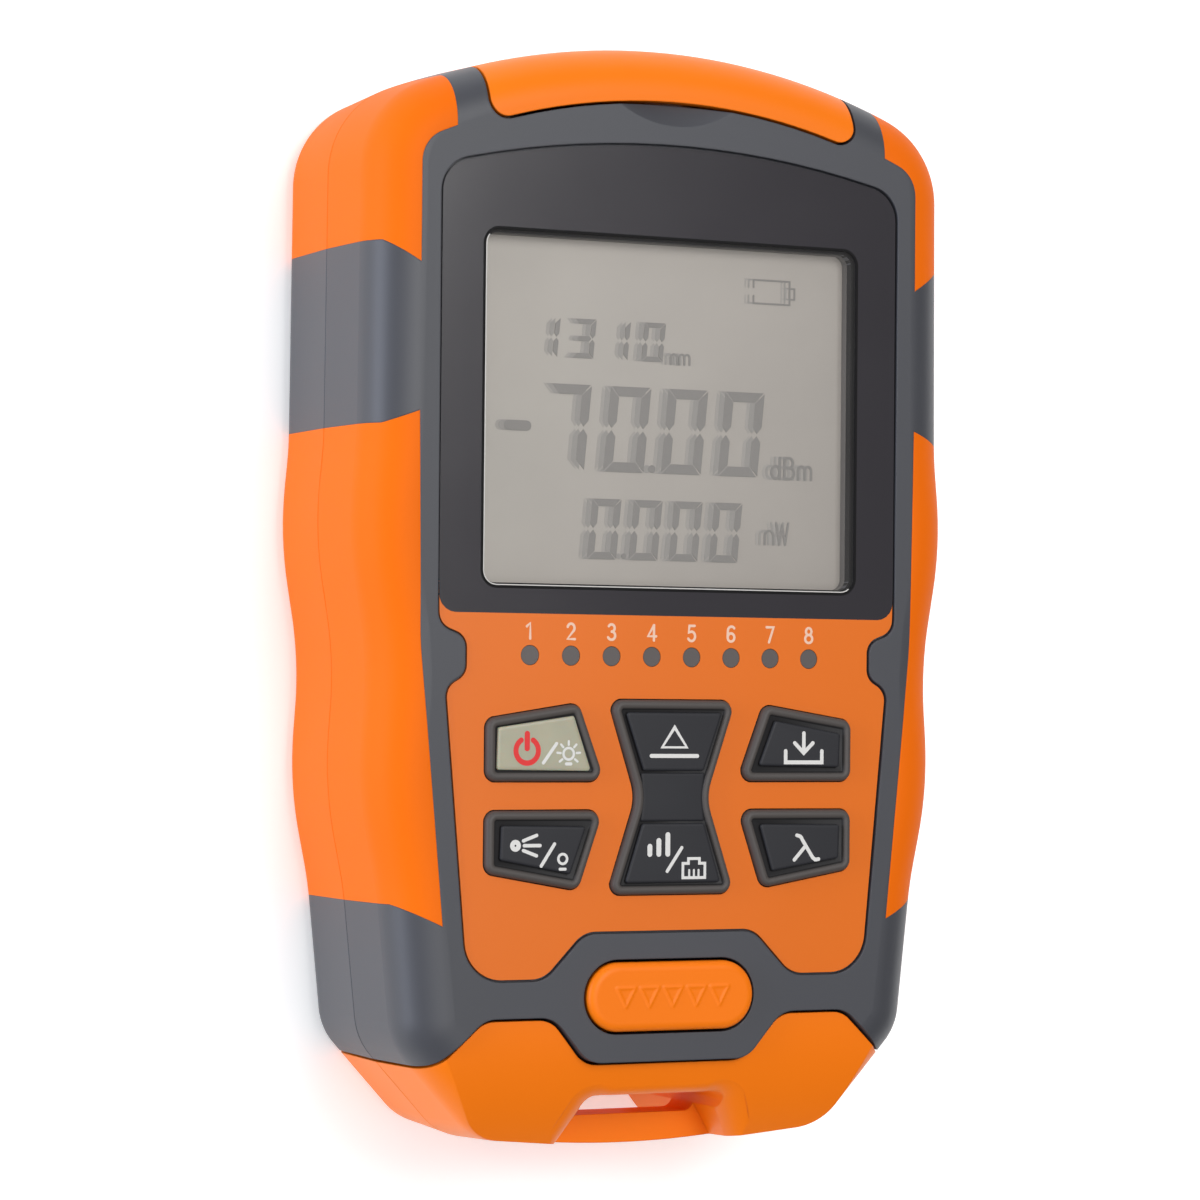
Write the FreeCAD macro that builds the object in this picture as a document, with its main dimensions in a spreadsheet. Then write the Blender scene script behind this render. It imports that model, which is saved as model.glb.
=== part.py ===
import FreeCAD, Part
import math
import os
from FreeCAD import Placement, Rotation, Vector

# Handheld optical power meter with a flip-up port cover and a detachable cable-test remote.
# It lies on its back: X is its width, +Y runs up to the ports, +Z leaves the screen.
# The origin is the middle of the back face. All sizes are in millimetres and degrees.

document = FreeCAD.newDocument("power_meter")
sheet = document.addObject("Spreadsheet::Sheet", "dims")

DIMENSIONS = {
    # Housing outline at the parting plane: length, end arcs and the half widths down one side.
    # Levels that start with an equals sign follow the length, from the end that they belong to.
    "half_length": 58.3,
    "crown_radius": 75.6,
    "crown_angle": 19.9,
    "base_radius": 112.0,
    "base_angle": 5.2,
    "temple_half": 27.3,
    "temple_angle": 23.9,
    "temple_radius": 26.0,
    "shoulder_half": 34.2,
    "shoulder_radius": 10.3,
    "palm_half": 34.4,
    "palm_level": "=half_length * 0.269",
    "bulge_half": 35.3,
    "bulge_level": "=half_length * 0.108",
    "waist_half": 33.0,
    "waist_level": "=-half_length * 0.122",
    "hip_half": 33.9,
    "hip_level": "=-half_length * 0.346",
    "heel_half": 31.7,
    "heel_level": "=-half_length + 27.7",
    "foot_half": 30.0,
    "foot_level": "=-half_length + 11.8",
    "toe_half": 20.5,
    "side_radius": 40.0,
    "corner_radius": 7.0,
    # Depths of the two halves, draft of their sides and rounding of their edges
    "rear_depth": 13.7,
    "front_depth": 13.0,
    "draft_angle": 2.5,
    "edge_radius": 5.3,
    "rear_edge_radius": 3.5,
    "parting_bevel": 0.12,
    # Walls
    "skin": 1.6,
    "side_wall": 3.0,
    "back_wall": 2.0,
    "plate_thickness": 1.8,
    "deck_wall": 1.5,
    "bay_wall": 1.3,
    # Screen lens and key panel, bonded in one shallow recess
    "film_sink": 0.2,
    "film_thickness": 0.5,
    "film_gap": 0.25,
    "lens_half": 26.8,
    "lens_crown": "=half_length - 11.1",
    "lens_crown_radius": 105.0,
    "lens_crown_angle": 13.0,
    "lens_foot": "=-half_length + 56.2",
    "lens_corner": 3.5,
    "panel_foot_half": 23.2,
    "panel_foot": "=-half_length + 18.5",
    "panel_saddle": "=-half_length + 23.3",
    "panel_saddle_half": 10.0,
    "panel_lobe_half": 14.6,
    "panel_corner": 4.2,
    "panel_sweep": 3.2,
    "scallop_half": 23.6,
    "scallop_level": "=-half_length + 51.8",
    "scallop_length": 4.0,
    "scallop_radius": 1.8,
    # Display
    "screen_half": 21.95,
    "screen_foot": "=-half_length + 59.0",
    "screen_head": "=half_length - 20.8",
    "screen_corner": 3.0,
    "screen_ledge": 0.3,
    "glass_margin": 2.2,
    "glass_thickness": 1.8,
    "backlight_thickness": 0.9,
    "part_gap": 0.1,
    # Eight cable-wire indicators
    "indicator_pitch": 4.706,
    "indicator_level": "=-half_length + 51.9",
    "indicator_half": 1.05,
    "indicator_gap": 0.1,
    "comb_width": 3.0,
    "comb_thickness": 0.9,
    # Rubber keys: upper and lower outer pairs and the rocker between them
    "key_outer": 21.9,
    "upper_key_peak": "=-half_length + 47.15",
    "upper_key_slope": 1.7,
    "upper_key_foot": "=-half_length + 38.6",
    "upper_key_narrow": 10.85,
    "upper_key_wide": 7.65,
    "lower_key_head": "=-half_length + 36.1",
    "lower_key_peak": "=-half_length + 27.35",
    "lower_key_slope": 1.95,
    "lower_key_narrow": 8.0,
    "lower_key_wide": 10.75,
    "key_corner": 1.25,
    "rocker_half": 7.9,
    "rocker_waist": 4.55,
    "rocker_head": "=-half_length + 47.85",
    "rocker_foot": "=-half_length + 26.55",
    "rocker_neck_radius": 5.0,
    "key_gap": 0.35,
    "key_rise": 0.75,
    "key_rim": 0.95,
    "key_groove": 0.45,
    "key_groove_depth": 0.6,
    "key_pad_step": 0.1,
    "key_edge": 0.35,
    "flange_reach": 0.6,
    "flange_thickness": 0.35,
    "web_gap": 0.3,
    "web_thickness": 0.5,
    "web_margin": 1.6,
    "key_travel": 0.4,
    # Main board and the switches on it
    "board_drop": 2.8,
    "board_thickness": 1.6,
    "board_half": 27.8,
    "board_foot": "=-half_length + 29.9",
    "board_head": "=half_length - 14.2",
    "board_corner": 2.0,
    "switch_half": 2.1,
    "switch_height": 1.1,
    "plunger_half": 1.0,
    "plunger_height": 0.4,
    "lamp_length": 2.0,
    "lamp_width": 1.2,
    "lamp_height": 0.7,
    # Orange grips let into both halves
    "grip_inner": 29.2,
    "grip_end_slope": 2.2,
    "upper_grip_foot": "=half_length - 24.7",
    "upper_grip_neck": "=half_length - 12.1",
    "upper_grip_tip": "=half_length - 10.5",
    "upper_grip_end": 25.3,
    "lower_grip_head": "=half_length * 0.3156",
    "lower_grip_foot": "=-half_length + 24.1",
    "lower_grip_inner": 26.1,
    # Seam between the housing and the remote
    "seam_level": "=-half_length + 9.65",
    "seam_shoulder": "=-half_length + 14.5",
    "seam_tongue": 9.3,
    "seam_rise": 13.4,
    "seam_fall": 21.2,
    "seam_horn": 26.4,
    "seam_radius": 3.2,
    "seam_gap": 0.3,
    # Remote: rounded nose, strap slot and bar, jack and its board
    "nose_start": "=-half_length + 14.8",
    "nose_drop": 0.5,
    "nose_radius": 24.0,
    "slot_half": 8.4,
    "slot_head": "=-half_length + 6.0",
    "slot_foot": "=-half_length + 3.2",
    "slot_corner": 1.2,
    "arch_half": 9.8,
    "arch_corner": 2.6,
    "bar_thickness": 5.0,
    "jack_width": 15.9,
    "jack_height": 13.4,
    "jack_floor": 3.1,
    "remote_jack_foot": "=-half_length + 7.4",
    "remote_jack_head": "=-half_length + 27.3",
    "bay_gap": 0.35,
    "remote_board_thickness": 1.2,
    "socket_width": 11.9,
    "socket_height": 7.2,
    "socket_depth": 12.5,
    "socket_key_width": 6.2,
    "socket_key_height": 2.4,
    "socket_sill": 2.4,
    "remote_travel": 32.0,
    # Release button over the remote's catch tab
    "button_half": 9.7,
    "button_width": 7.2,
    "button_level": "=-half_length + 16.45",
    "button_rise": 0.85,
    "button_gap": 0.3,
    "button_edge": 0.8,
    "button_travel": 0.8,
    "button_stem": 4.0,
    "button_flange": 0.8,
    "button_flange_thickness": 1.0,
    "tab_half": 6.0,
    "tab_floor": 19.3,
    "tab_thickness": 1.3,
    "tab_head": "=-half_length + 18.0",
    "barb_height": 0.6,
    "barb_length": 1.2,
    "tab_gap": 0.3,
    "spring_leaf": 0.3,
    "spring_width": 3.0,
    "spring_span": 6.0,
    # Port cover and its hinge at the back of the top end
    "cover_half": 21.5,
    "cover_crown": "=half_length - 6.3",
    "cover_arc": 68.0,
    "cover_arc_angle": 16.2,
    "cover_corner": 1.8,
    "cover_gap": 0.3,
    "deck_level": "=half_length - 11.6",
    "hinge_level": "=half_length - 7.0",
    "hinge_height": 3.2,
    "knuckle_radius": 3.0,
    "knuckle_half": 13.7,
    "hinge_pin_radius": 0.8,
    "hinge_pin_gap": 0.04,
    "hinge_pin_half": 21.2,
    "thumb_radius": 12.0,
    "thumb_sphere": 30.0,
    "thumb_reach": 2.6,
    # Ports under the cover
    "port_height": 13.2,
    "power_port_place": -15.2,
    "power_port_radius": 4.0,
    "power_port_head": "=half_length - 5.0",
    "laser_port_place": -5.45,
    "laser_port_radius": 3.2,
    "laser_port_head": "=half_length - 5.2",
    "ferrule_radius": 1.26,
    "sleeve_wall": 0.7,
    "port_flange": 1.2,
    "port_tail": 7.0,
    "network_jack_place": 7.25,
    "network_jack_floor": 6.2,
    "network_jack_head": "=half_length - 8.7",
    "network_jack_length": 17.0,
    "torch_place": 17.7,
    "torch_radius": 1.9,
    "torch_head": "=half_length - 8.9",
    # Battery bay at the back: three cells side by side
    "cell_radius": 5.15,
    "cell_length": 43.5,
    "cell_pitch": 10.9,
    "cell_height": 7.35,
    "nub_radius": 1.8,
    "nub_length": 0.9,
    "cell_play": 0.25,
    "contact_thickness": 0.4,
    "contact_space": 1.55,
    "tub_wall": 1.4,
    "tub_roof": 1.1,
    "door_thickness": 1.6,
    "door_sink": 0.2,
    "door_rim": 0.8,
    "door_gap": 0.2,
    "door_corner": 2.0,
    "door_tab_place": 8.0,
    "door_tab_half": 2.0,
    "door_tab_reach": 1.5,
    "door_tab_thickness": 0.8,
    "door_bevel": 0.9,
    # Housing screws
    "upper_screw_place": 26.3,
    "upper_screw_level": "=half_length - 18.0",
    "lower_screw_place": 22.3,
    "lower_screw_level": "=-half_length + 21.7",
    "boss_radius": 3.0,
    "screw_radius": 1.1,
    "screw_head_radius": 2.0,
    "screw_head_height": 1.5,
    "screw_sink": 1.0,
    "screw_gap": 0.15,
    "screw_length": 15.5,
    "remote_screw_place": 17.3,
    "remote_screw_level": "=-half_length + 9.7",
    "boss_foot": 1.8,
}

for row, (alias, value) in enumerate(DIMENSIONS.items(), start=1):
    sheet.set(f"A{row}", alias)
    sheet.set(f"B{row}", str(value))
    sheet.setAlias(f"B{row}", alias)
document.recompute()

# Heights that several pieces share, as expressions over the sheet
PARTING = "dims.rear_depth"
FACE = "dims.rear_depth + dims.front_depth"
FILM_TOP = FACE + " - dims.film_sink"
FILM_SEAT = FILM_TOP + " - dims.film_thickness"
PLATE = FILM_SEAT + " - dims.plate_thickness"
BOARD_TOP = PLATE + " - dims.board_drop"
BOARD = BOARD_TOP + " - dims.board_thickness"
SWITCH_TOP = BOARD_TOP + " + dims.switch_height + dims.plunger_height"
KEY_FLOOR = SWITCH_TOP + " + dims.key_travel + dims.part_gap"
KEY_TOP = FILM_TOP + " + dims.key_rise"
JACK_HEAD = "dims.jack_floor + dims.jack_height"
BAY_ROOF = "dims.jack_floor + dims.jack_height + dims.bay_gap + dims.bay_wall"
TAB_TOP = "dims.tab_floor + dims.tab_thickness"


def number(expression):
    """Value of an expression over the sheet's aliases."""
    return float(sheet.evalExpression(expression))


class Sizes:
    """The sheet's values under their aliases."""

    def __getattr__(self, alias):
        return float(sheet.get(alias))


size = Sizes()


def corner_turn(before, corner, after):
    """Unit directions into and out of a corner, and the signed turn between them."""
    arrive = Vector(corner[0] - before[0], corner[1] - before[1], 0).normalize()
    leave = Vector(after[0] - corner[0], after[1] - corner[1], 0).normalize()
    return arrive, leave, math.atan2(arrive.cross(leave).z, arrive.dot(leave))


def rounded(points):
    """Lines and tangent arcs of a closed polygon given as (x, y, corner radius)."""
    count = len(points)
    turns = [corner_turn(points[i - 1], points[i], points[(i + 1) % count]) for i in range(count)]
    reach = [points[i][2] * abs(math.tan(turns[i][2] / 2)) for i in range(count)]
    share = [1.0] * count
    for i in range(count):
        following = (i + 1) % count
        run = math.dist(points[i][:2], points[following][:2])
        needed = reach[i] + reach[following]
        if needed > run:
            share[i] = min(share[i], run / needed)
            share[following] = min(share[following], run / needed)
    edges = []
    starts = []
    ends = []
    arcs = []
    for i, (x, y, radius) in enumerate(points):
        corner = Vector(x, y, 0)
        arrive, leave, turn = turns[i]
        length = reach[i] * share[i]
        start = corner - arrive * length
        end = corner + leave * length
        starts.append(start)
        ends.append(end)
        if length < 1e-6:
            arcs.append(None)
            continue
        fitted = radius * share[i]
        to_centre = (leave - arrive).normalize()
        centre = corner + to_centre * (fitted / math.cos(turn / 2))
        middle = centre - to_centre * fitted
        arcs.append(Part.Arc(start, middle, end))
    for i in range(count):
        if arcs[i] is not None:
            edges.append(arcs[i])
        following = (i + 1) % count
        if (starts[following] - ends[i]).Length > 1e-6:
            edges.append(Part.LineSegment(ends[i], starts[following]))
    return edges


def inset(points, distance):
    """The same rounded polygon moved inwards by a distance, or outwards if it is negative."""
    count = len(points)
    moved = []
    for i, (x, y, radius) in enumerate(points):
        arrive, leave, turn = corner_turn(points[i - 1], points[i], points[(i + 1) % count])
        along_normal = Vector(-arrive.y - leave.y, arrive.x + leave.x, 0)
        scale = distance / (1 + arrive.dot(leave))
        rounding = radius - distance if turn > 0 else radius + distance
        if radius > 0:
            rounding = max(rounding, 0.15)
        else:
            rounding = 0.0
        moved.append((x + along_normal.x * scale, y + along_normal.y * scale, rounding))
    return moved


def mirrored(right, foot=None, head=None):
    """Closed outline from its right half, listed upwards, with optional points on the middle line."""
    left = [(-x, y, radius) for x, y, radius in reversed(right)]
    return ([foot] if foot else []) + list(right) + ([head] if head else []) + left


def rectangle(low_x, low_y, high_x, high_y, radius=0.0):
    return [(low_x, low_y, radius), (high_x, low_y, radius), (high_x, high_y, radius), (low_x, high_y, radius)]


def circles(centres, radius):
    return [Part.Circle(Vector(x, y, 0), Vector(0, 0, 1), radius) for x, y in centres]


def circle(x, y, radius):
    return circles([(x, y)], radius)


def polygon(points):
    return rounded([(x, y, 0.0) for x, y in points])


def new_body(label, base=None):
    body = document.addObject("PartDesign::Body", label)
    body.Label = label
    if base is not None:
        body.BaseFeature = base
        document.recompute()
    return body


def draw(body, geometry, level="0", plane="XY_Plane", shift=(0.0, 0.0)):
    """Sketch on one of the body's own origin planes, raised to a level."""
    sketch = body.newObject("Sketcher::SketchObject", body.Name + "_sketch")
    support = [feature for feature in body.Origin.OriginFeatures if feature.Role == plane][0]
    sketch.AttachmentSupport = [(support, "")]
    sketch.MapMode = "FlatFace"
    sketch.AttachmentOffset = Placement(Vector(shift[0], shift[1], 0), Rotation())
    sketch.setExpression("AttachmentOffset.Base.z", level)
    sketch.addGeometry(geometry, False)
    return sketch


def pad(body, geometry, level, length, down=False, taper=None, plane="XY_Plane", both_ways=False):
    before = body.Shape.Volume if body.Tip else 0.0
    sketch = draw(body, geometry, level, plane)
    feature = body.newObject("PartDesign::Pad", body.Name + "_pad")
    feature.Profile = sketch
    feature.setExpression("Length", length)
    feature.Reversed = down
    if taper:
        feature.setExpression("TaperAngle", taper)
    if both_ways:
        feature.SideType = "Symmetric"
    document.recompute()
    if body.Shape.Volume <= before:
        raise RuntimeError("a pad added nothing to " + body.Label)
    return feature


def pocket(body, geometry, level, depth, up=False, plane="XY_Plane", both_ways=False):
    before = body.Shape.Volume
    sketch = draw(body, geometry, level, plane)
    feature = body.newObject("PartDesign::Pocket", body.Name + "_pocket")
    feature.Profile = sketch
    feature.setExpression("Length", depth)
    feature.Reversed = up
    if both_ways:
        feature.SideType = "Symmetric"
    document.recompute()
    if body.Shape.Volume >= before:
        raise RuntimeError("a pocket cut nothing from " + body.Label)
    return feature


def revolve(body, geometry, level, shift):
    """Full turn about the sketch's own vertical axis."""
    sketch = draw(body, geometry, level, "XY_Plane", shift)
    feature = body.newObject("PartDesign::Revolution", body.Name + "_turn")
    feature.Profile = sketch
    feature.ReferenceAxis = (sketch, ["V_Axis"])
    feature.Angle = 360
    document.recompute()
    return feature


def soften(body, level, radius, kind="PartDesign::Fillet"):
    """Fillet or chamfer every edge that lies flat at one height."""
    height = number(level)
    tip = body.Tip
    names = []
    for index, edge in enumerate(tip.Shape.Edges, start=1):
        box = edge.BoundBox
        if abs(box.ZMin - height) < 1e-4 and abs(box.ZMax - height) < 1e-4:
            names.append(f"Edge{index}")
    feature = body.newObject(kind, body.Name + "_edge")
    feature.Base = (tip, names)
    feature.setExpression("Radius" if kind.endswith("Fillet") else "Size", radius)
    document.recompute()
    return feature


def boolean(kind, label, base, tool):
    feature = document.addObject("Part::" + kind, label)
    feature.Label = label
    feature.Base = base
    feature.Tool = tool
    document.recompute()
    return feature


def fuse(label, pieces):
    feature = document.addObject("Part::MultiFuse", label)
    feature.Label = label
    feature.Shapes = pieces
    document.recompute()
    return feature


def prism(label, geometry, level, length):
    body = new_body(label)
    pad(body, geometry, level, length)
    return body


# Outline of the housing at its parting plane
crown_rise = size.crown_radius * (1 / math.cos(math.radians(size.crown_angle)) - 1)
base_rise = size.base_radius * (1 / math.cos(math.radians(size.base_angle)) - 1)
crown_apex = size.half_length + crown_rise
base_apex = -size.half_length - base_rise
temple_level = crown_apex - size.temple_half * math.tan(math.radians(size.crown_angle))
shoulder_drop = (size.shoulder_half - size.temple_half) * math.tan(math.radians(size.temple_angle))
toe_level = base_apex + size.toe_half * math.tan(math.radians(size.base_angle))
HOUSING = mirrored(
    [
        (size.toe_half, toe_level, size.corner_radius),
        (size.foot_half, size.foot_level, size.corner_radius),
        (size.heel_half, size.heel_level, size.side_radius),
        (size.hip_half, size.hip_level, size.side_radius),
        (size.waist_half, size.waist_level, size.side_radius),
        (size.bulge_half, size.bulge_level, size.side_radius),
        (size.palm_half, size.palm_level, size.side_radius),
        (size.shoulder_half, temple_level - shoulder_drop, size.shoulder_radius),
        (size.temple_half, temple_level, size.temple_radius),
    ],
    foot=(0, base_apex, size.base_radius),
    head=(0, crown_apex, size.crown_radius),
)
FAR = size.half_length + size.shoulder_half


def half_hull(label, side, face, front):
    """Drafted and rounded half of the housing's outer form, drawn in by the given walls."""
    depth = "dims.front_depth" if front else "dims.rear_depth"
    body = new_body(label)
    outline = rounded(inset(HOUSING, number(side)))
    pad(body, outline, PARTING, f"{depth} - {face}", down=not front, taper="-dims.draft_angle")
    level = f"{PARTING} + {depth} - {face}" if front else face
    radius = "dims.edge_radius" if front else "dims.rear_edge_radius"
    soften(body, level, f"{radius} - {face}")
    if face == "0":
        soften(body, PARTING, "dims.parting_bevel", "PartDesign::Chamfer")
    return body


front_outer = half_hull("front_outer", "0", "0", True)
rear_outer = half_hull("rear_outer", "0", "0", False)
front_core = half_hull("front_core", "dims.skin", "dims.skin", True)
rear_core = half_hull("rear_core", "dims.skin", "dims.skin", False)
FRONT_WALL = "(dims.film_sink + dims.film_thickness + dims.plate_thickness)"
front_hollow = half_hull("front_hollow", "dims.side_wall", FRONT_WALL, True)
rear_hollow = half_hull("rear_hollow", "dims.side_wall", "dims.back_wall", False)

# Regions in plan that divide the outer form
TALL = "dims.rear_depth + dims.front_depth + 2 * dims.edge_radius"
UNDER = "-dims.edge_radius"


def region(label, outline):
    """Tall prism through the whole housing."""
    return prism(label, rounded(outline), UNDER, TALL)


SEAM = mirrored(
    [
        (FAR, -2 * FAR, 0.0),
        (FAR, size.seam_level, 0.0),
        (size.seam_horn, size.seam_level, size.seam_radius),
        (size.seam_fall, size.seam_shoulder, size.seam_radius),
        (size.seam_rise, size.seam_shoulder, size.seam_radius),
        (size.seam_tongue, size.seam_level, size.seam_radius),
    ]
)
remote_space = region("remote_space", SEAM)
remote_region = region("remote_region", inset(SEAM, size.seam_gap))

cover_apex = size.cover_crown + size.cover_arc * (1 / math.cos(math.radians(size.cover_arc_angle)) - 1)
cover_end = cover_apex - size.cover_half * math.tan(math.radians(size.cover_arc_angle))
COVER = [
    (-size.cover_half, cover_end, size.cover_corner),
    (0, cover_apex, size.cover_arc),
    (size.cover_half, cover_end, size.cover_corner),
    (size.cover_half, FAR, 0.0),
    (-size.cover_half, FAR, 0.0),
]

grip_slant = size.grip_inner + size.grip_end_slope * 1.6
UPPER_GRIP = [
    (size.grip_inner, size.upper_grip_foot, 0.0),
    (grip_slant, size.upper_grip_foot + size.grip_end_slope, 0.0),
    (FAR, size.upper_grip_foot + size.grip_end_slope, 0.0),
    (FAR, FAR, 0.0),
    (size.upper_grip_end, FAR, 0.0),
    (size.upper_grip_end, size.upper_grip_tip, 0.0),
    (size.grip_inner, size.upper_grip_neck, size.corner_radius / 2),
]
LOWER_GRIP = [
    (size.lower_grip_inner, size.lower_grip_foot, 0.0),
    (size.lower_grip_inner + 2.1 * size.grip_end_slope, size.lower_grip_foot + size.grip_end_slope, 0.0),
    (FAR, size.lower_grip_foot + size.grip_end_slope, 0.0),
    (FAR, size.lower_grip_head - size.grip_end_slope * 0.75, 0.0),
    (grip_slant, size.lower_grip_head - size.grip_end_slope * 0.6, 0.0),
    (size.grip_inner, size.lower_grip_head, 0.0),
    (size.grip_inner - 0.35, size.waist_level + 2, size.side_radius),
]


def flipped(outline):
    """The outline mirrored to the left side, still running the same way round."""
    return [(-x, y, radius) for x, y, radius in reversed(outline)]


grip_tools = {}
for name, outline in (("upper", UPPER_GRIP), ("lower", LOWER_GRIP)):
    for side, placed in (("right", outline), ("left", flipped(outline))):
        grip_tools[f"{name}_{side}"] = region(f"grip_region_{name}_{side}", placed)

# Orange grips: the outer skin of each half inside the grip regions
all_grips = fuse("grip_regions", list(grip_tools.values()))
for half, outer, core in (("front", front_outer, front_core), ("rear", rear_outer, rear_core)):
    rind = boolean("Cut", f"{half}_rind", outer, core)
    for place, tool in grip_tools.items():
        boolean("Common", f"grip_{half}_{place}", rind, tool)

# Recess outlines on the face
lens_apex = size.lens_crown + size.lens_crown_radius * (
    1 / math.cos(math.radians(size.lens_crown_angle)) - 1
)
lens_shoulder = lens_apex - size.lens_half * math.tan(math.radians(size.lens_crown_angle))
LENS = mirrored(
    [
        (size.lens_half, size.lens_foot, size.lens_corner),
        (size.lens_half, lens_shoulder, size.lens_corner),
    ],
    head=(0, lens_apex, size.lens_crown_radius),
)
scallop_low = size.scallop_level - size.scallop_length / 2
scallop_high = size.scallop_level + size.scallop_length / 2
FILM = mirrored(
    [
        (size.panel_saddle_half, size.panel_saddle, size.panel_sweep),
        (size.panel_lobe_half, size.panel_foot, size.panel_sweep),
        (size.panel_foot_half, size.panel_foot, size.panel_corner),
        (size.lens_half - 0.9, scallop_low - 1.3, size.scallop_radius),
        (size.scallop_half, scallop_low, size.scallop_radius),
        (size.scallop_half, scallop_high, size.scallop_radius),
        (size.lens_half - 0.1, scallop_high + 1.2, size.scallop_radius),
        (size.lens_half, lens_shoulder, size.lens_corner),
    ],
    head=(0, lens_apex, size.lens_crown_radius),
)
SCREEN = rectangle(
    -size.screen_half, size.screen_foot, size.screen_half, size.screen_head, size.screen_corner
)

# Key outlines, right hand; the left pair mirrors them
UPPER_KEY = [
    (size.upper_key_wide, size.upper_key_foot, size.key_corner),
    (size.key_outer, size.upper_key_foot, size.key_corner),
    (size.key_outer, size.upper_key_peak - size.upper_key_slope, size.key_corner),
    (size.upper_key_narrow, size.upper_key_peak, size.key_corner),
]
LOWER_KEY = [
    (size.lower_key_wide, size.lower_key_peak, size.key_corner),
    (size.key_outer, size.lower_key_peak + size.lower_key_slope, size.key_corner),
    (size.key_outer, size.lower_key_head, size.key_corner),
    (size.lower_key_narrow, size.lower_key_head, size.key_corner),
]
rocker_middle = (size.rocker_head + size.rocker_foot) / 2
ROCKER = mirrored(
    [
        (size.rocker_half, size.rocker_foot, size.key_corner),
        (size.rocker_waist, rocker_middle, size.rocker_neck_radius),
        (size.rocker_half, size.rocker_head, size.key_corner),
    ]
)
KEYS = {
    "power_key": flipped(UPPER_KEY),
    "save_key": UPPER_KEY,
    "laser_key": flipped(LOWER_KEY),
    "wavelength_key": LOWER_KEY,
    "rocker_key": ROCKER,
}
BUTTON = rectangle(
    -size.button_half,
    size.button_level - size.button_width / 2,
    size.button_half,
    size.button_level + size.button_width / 2,
    size.button_width / 2 - 0.01,
)
key_openings = [edge for outline in KEYS.values() for edge in rounded(inset(outline, -size.key_gap))]
INDICATORS = [((place - 3.5) * size.indicator_pitch, size.indicator_level) for place in range(8)]
UPPER_BOSSES = [(side * size.upper_screw_place, size.upper_screw_level) for side in (-1, 1)]
LOWER_BOSSES = [(side * size.lower_screw_place, size.lower_screw_level) for side in (-1, 1)]
BOSSES = UPPER_BOSSES + LOWER_BOSSES


def screw_boss(body, places):
    """Bosses up to the parting plane with shank holes and head recesses from the back."""
    pad(body, circles(places, size.boss_radius), "dims.boss_foot", f"{PARTING} - dims.boss_foot")
    pocket(body, circles(places, size.screw_radius + size.screw_gap), "0", PARTING, up=True)
    recess = "dims.screw_sink + dims.screw_head_height"
    pocket(body, circles(places, size.screw_head_radius + size.screw_gap), "0", recess, up=True)


# Port axes and the shared cutters for the deck that both halves close round them
port_cutters = []
for name, place, radius in (
    ("power_port_hole", "power_port_place", "power_port_radius"),
    ("laser_port_hole", "laser_port_place", "laser_port_radius"),
    ("torch_hole", "torch_place", "torch_radius"),
):
    cutter = document.addObject("Part::Cylinder", name)
    cutter.setExpression("Radius", f"dims.{radius}")
    cutter.setExpression("Height", "2 * dims.side_wall + dims.deck_wall")
    cutter.Placement = Placement(Vector(0, 0, 0), Rotation(Vector(1, 0, 0), -90))
    cutter.setExpression("Placement.Base.x", f"dims.{place}")
    cutter.setExpression("Placement.Base.y", "dims.deck_level - dims.deck_wall - dims.side_wall")
    cutter.setExpression("Placement.Base.z", "dims.port_height")
    port_cutters.append(cutter)


def box(label, low, high):
    """Block between two corners given as expressions."""
    block = document.addObject("Part::Box", label)
    for axis, length, start, end in zip("xyz", ("Length", "Width", "Height"), low, high):
        block.setExpression(length, f"({end}) - ({start})")
        block.setExpression(f"Placement.Base.{axis}", start)
    document.recompute()
    return block


port_cutters.append(
    box(
        "network_jack_hole",
        (
            "dims.network_jack_place - dims.jack_width / 2",
            "dims.deck_level - dims.deck_wall - dims.side_wall",
            "dims.network_jack_floor",
        ),
        (
            "dims.network_jack_place + dims.jack_width / 2",
            "dims.deck_level + dims.side_wall",
            "dims.network_jack_floor + dims.jack_height",
        ),
    )
)
port_holes = fuse("port_holes", port_cutters)

BAY_HALF = "(dims.jack_width / 2 + dims.bay_gap)"
BAY_HEAD = "(dims.remote_jack_head + dims.bay_gap)"
bay_core = box(
    "bay_core",
    (f"-{BAY_HALF}", "-2 * dims.half_length", "dims.jack_floor - dims.remote_board_thickness - dims.bay_gap"),
    (BAY_HALF, BAY_HEAD, f"{JACK_HEAD} + dims.bay_gap"),
)
bay_block = box(
    "bay_block",
    (f"-{BAY_HALF} - dims.bay_wall", "-2 * dims.half_length", "0"),
    (f"{BAY_HALF} + dims.bay_wall", f"{BAY_HEAD} + dims.bay_wall", BAY_ROOF),
)

# Inner hollow of each half: between the deck and the seam wall, round the bay and the battery tub
hollow_region = prism(
    "hollow_region",
    polygon(
        [
            (-FAR, size.seam_shoulder + size.deck_wall + size.seam_gap),
            (FAR, size.seam_shoulder + size.deck_wall + size.seam_gap),
            (FAR, size.deck_level - size.deck_wall),
            (-FAR, size.deck_level - size.deck_wall),
        ]
    ),
    UNDER,
    TALL,
)
TUB_HALF = "(1.5 * dims.cell_pitch + dims.cell_play)"
TUB_REACH = "(dims.cell_length / 2 + dims.nub_length + dims.contact_space)"
tub_block = box(
    "tub_block",
    (f"-{TUB_HALF} - dims.tub_wall", f"-{TUB_REACH} - dims.tub_wall", "0"),
    (f"{TUB_HALF} + dims.tub_wall", f"{TUB_REACH} + dims.tub_wall", PARTING),
)

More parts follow.
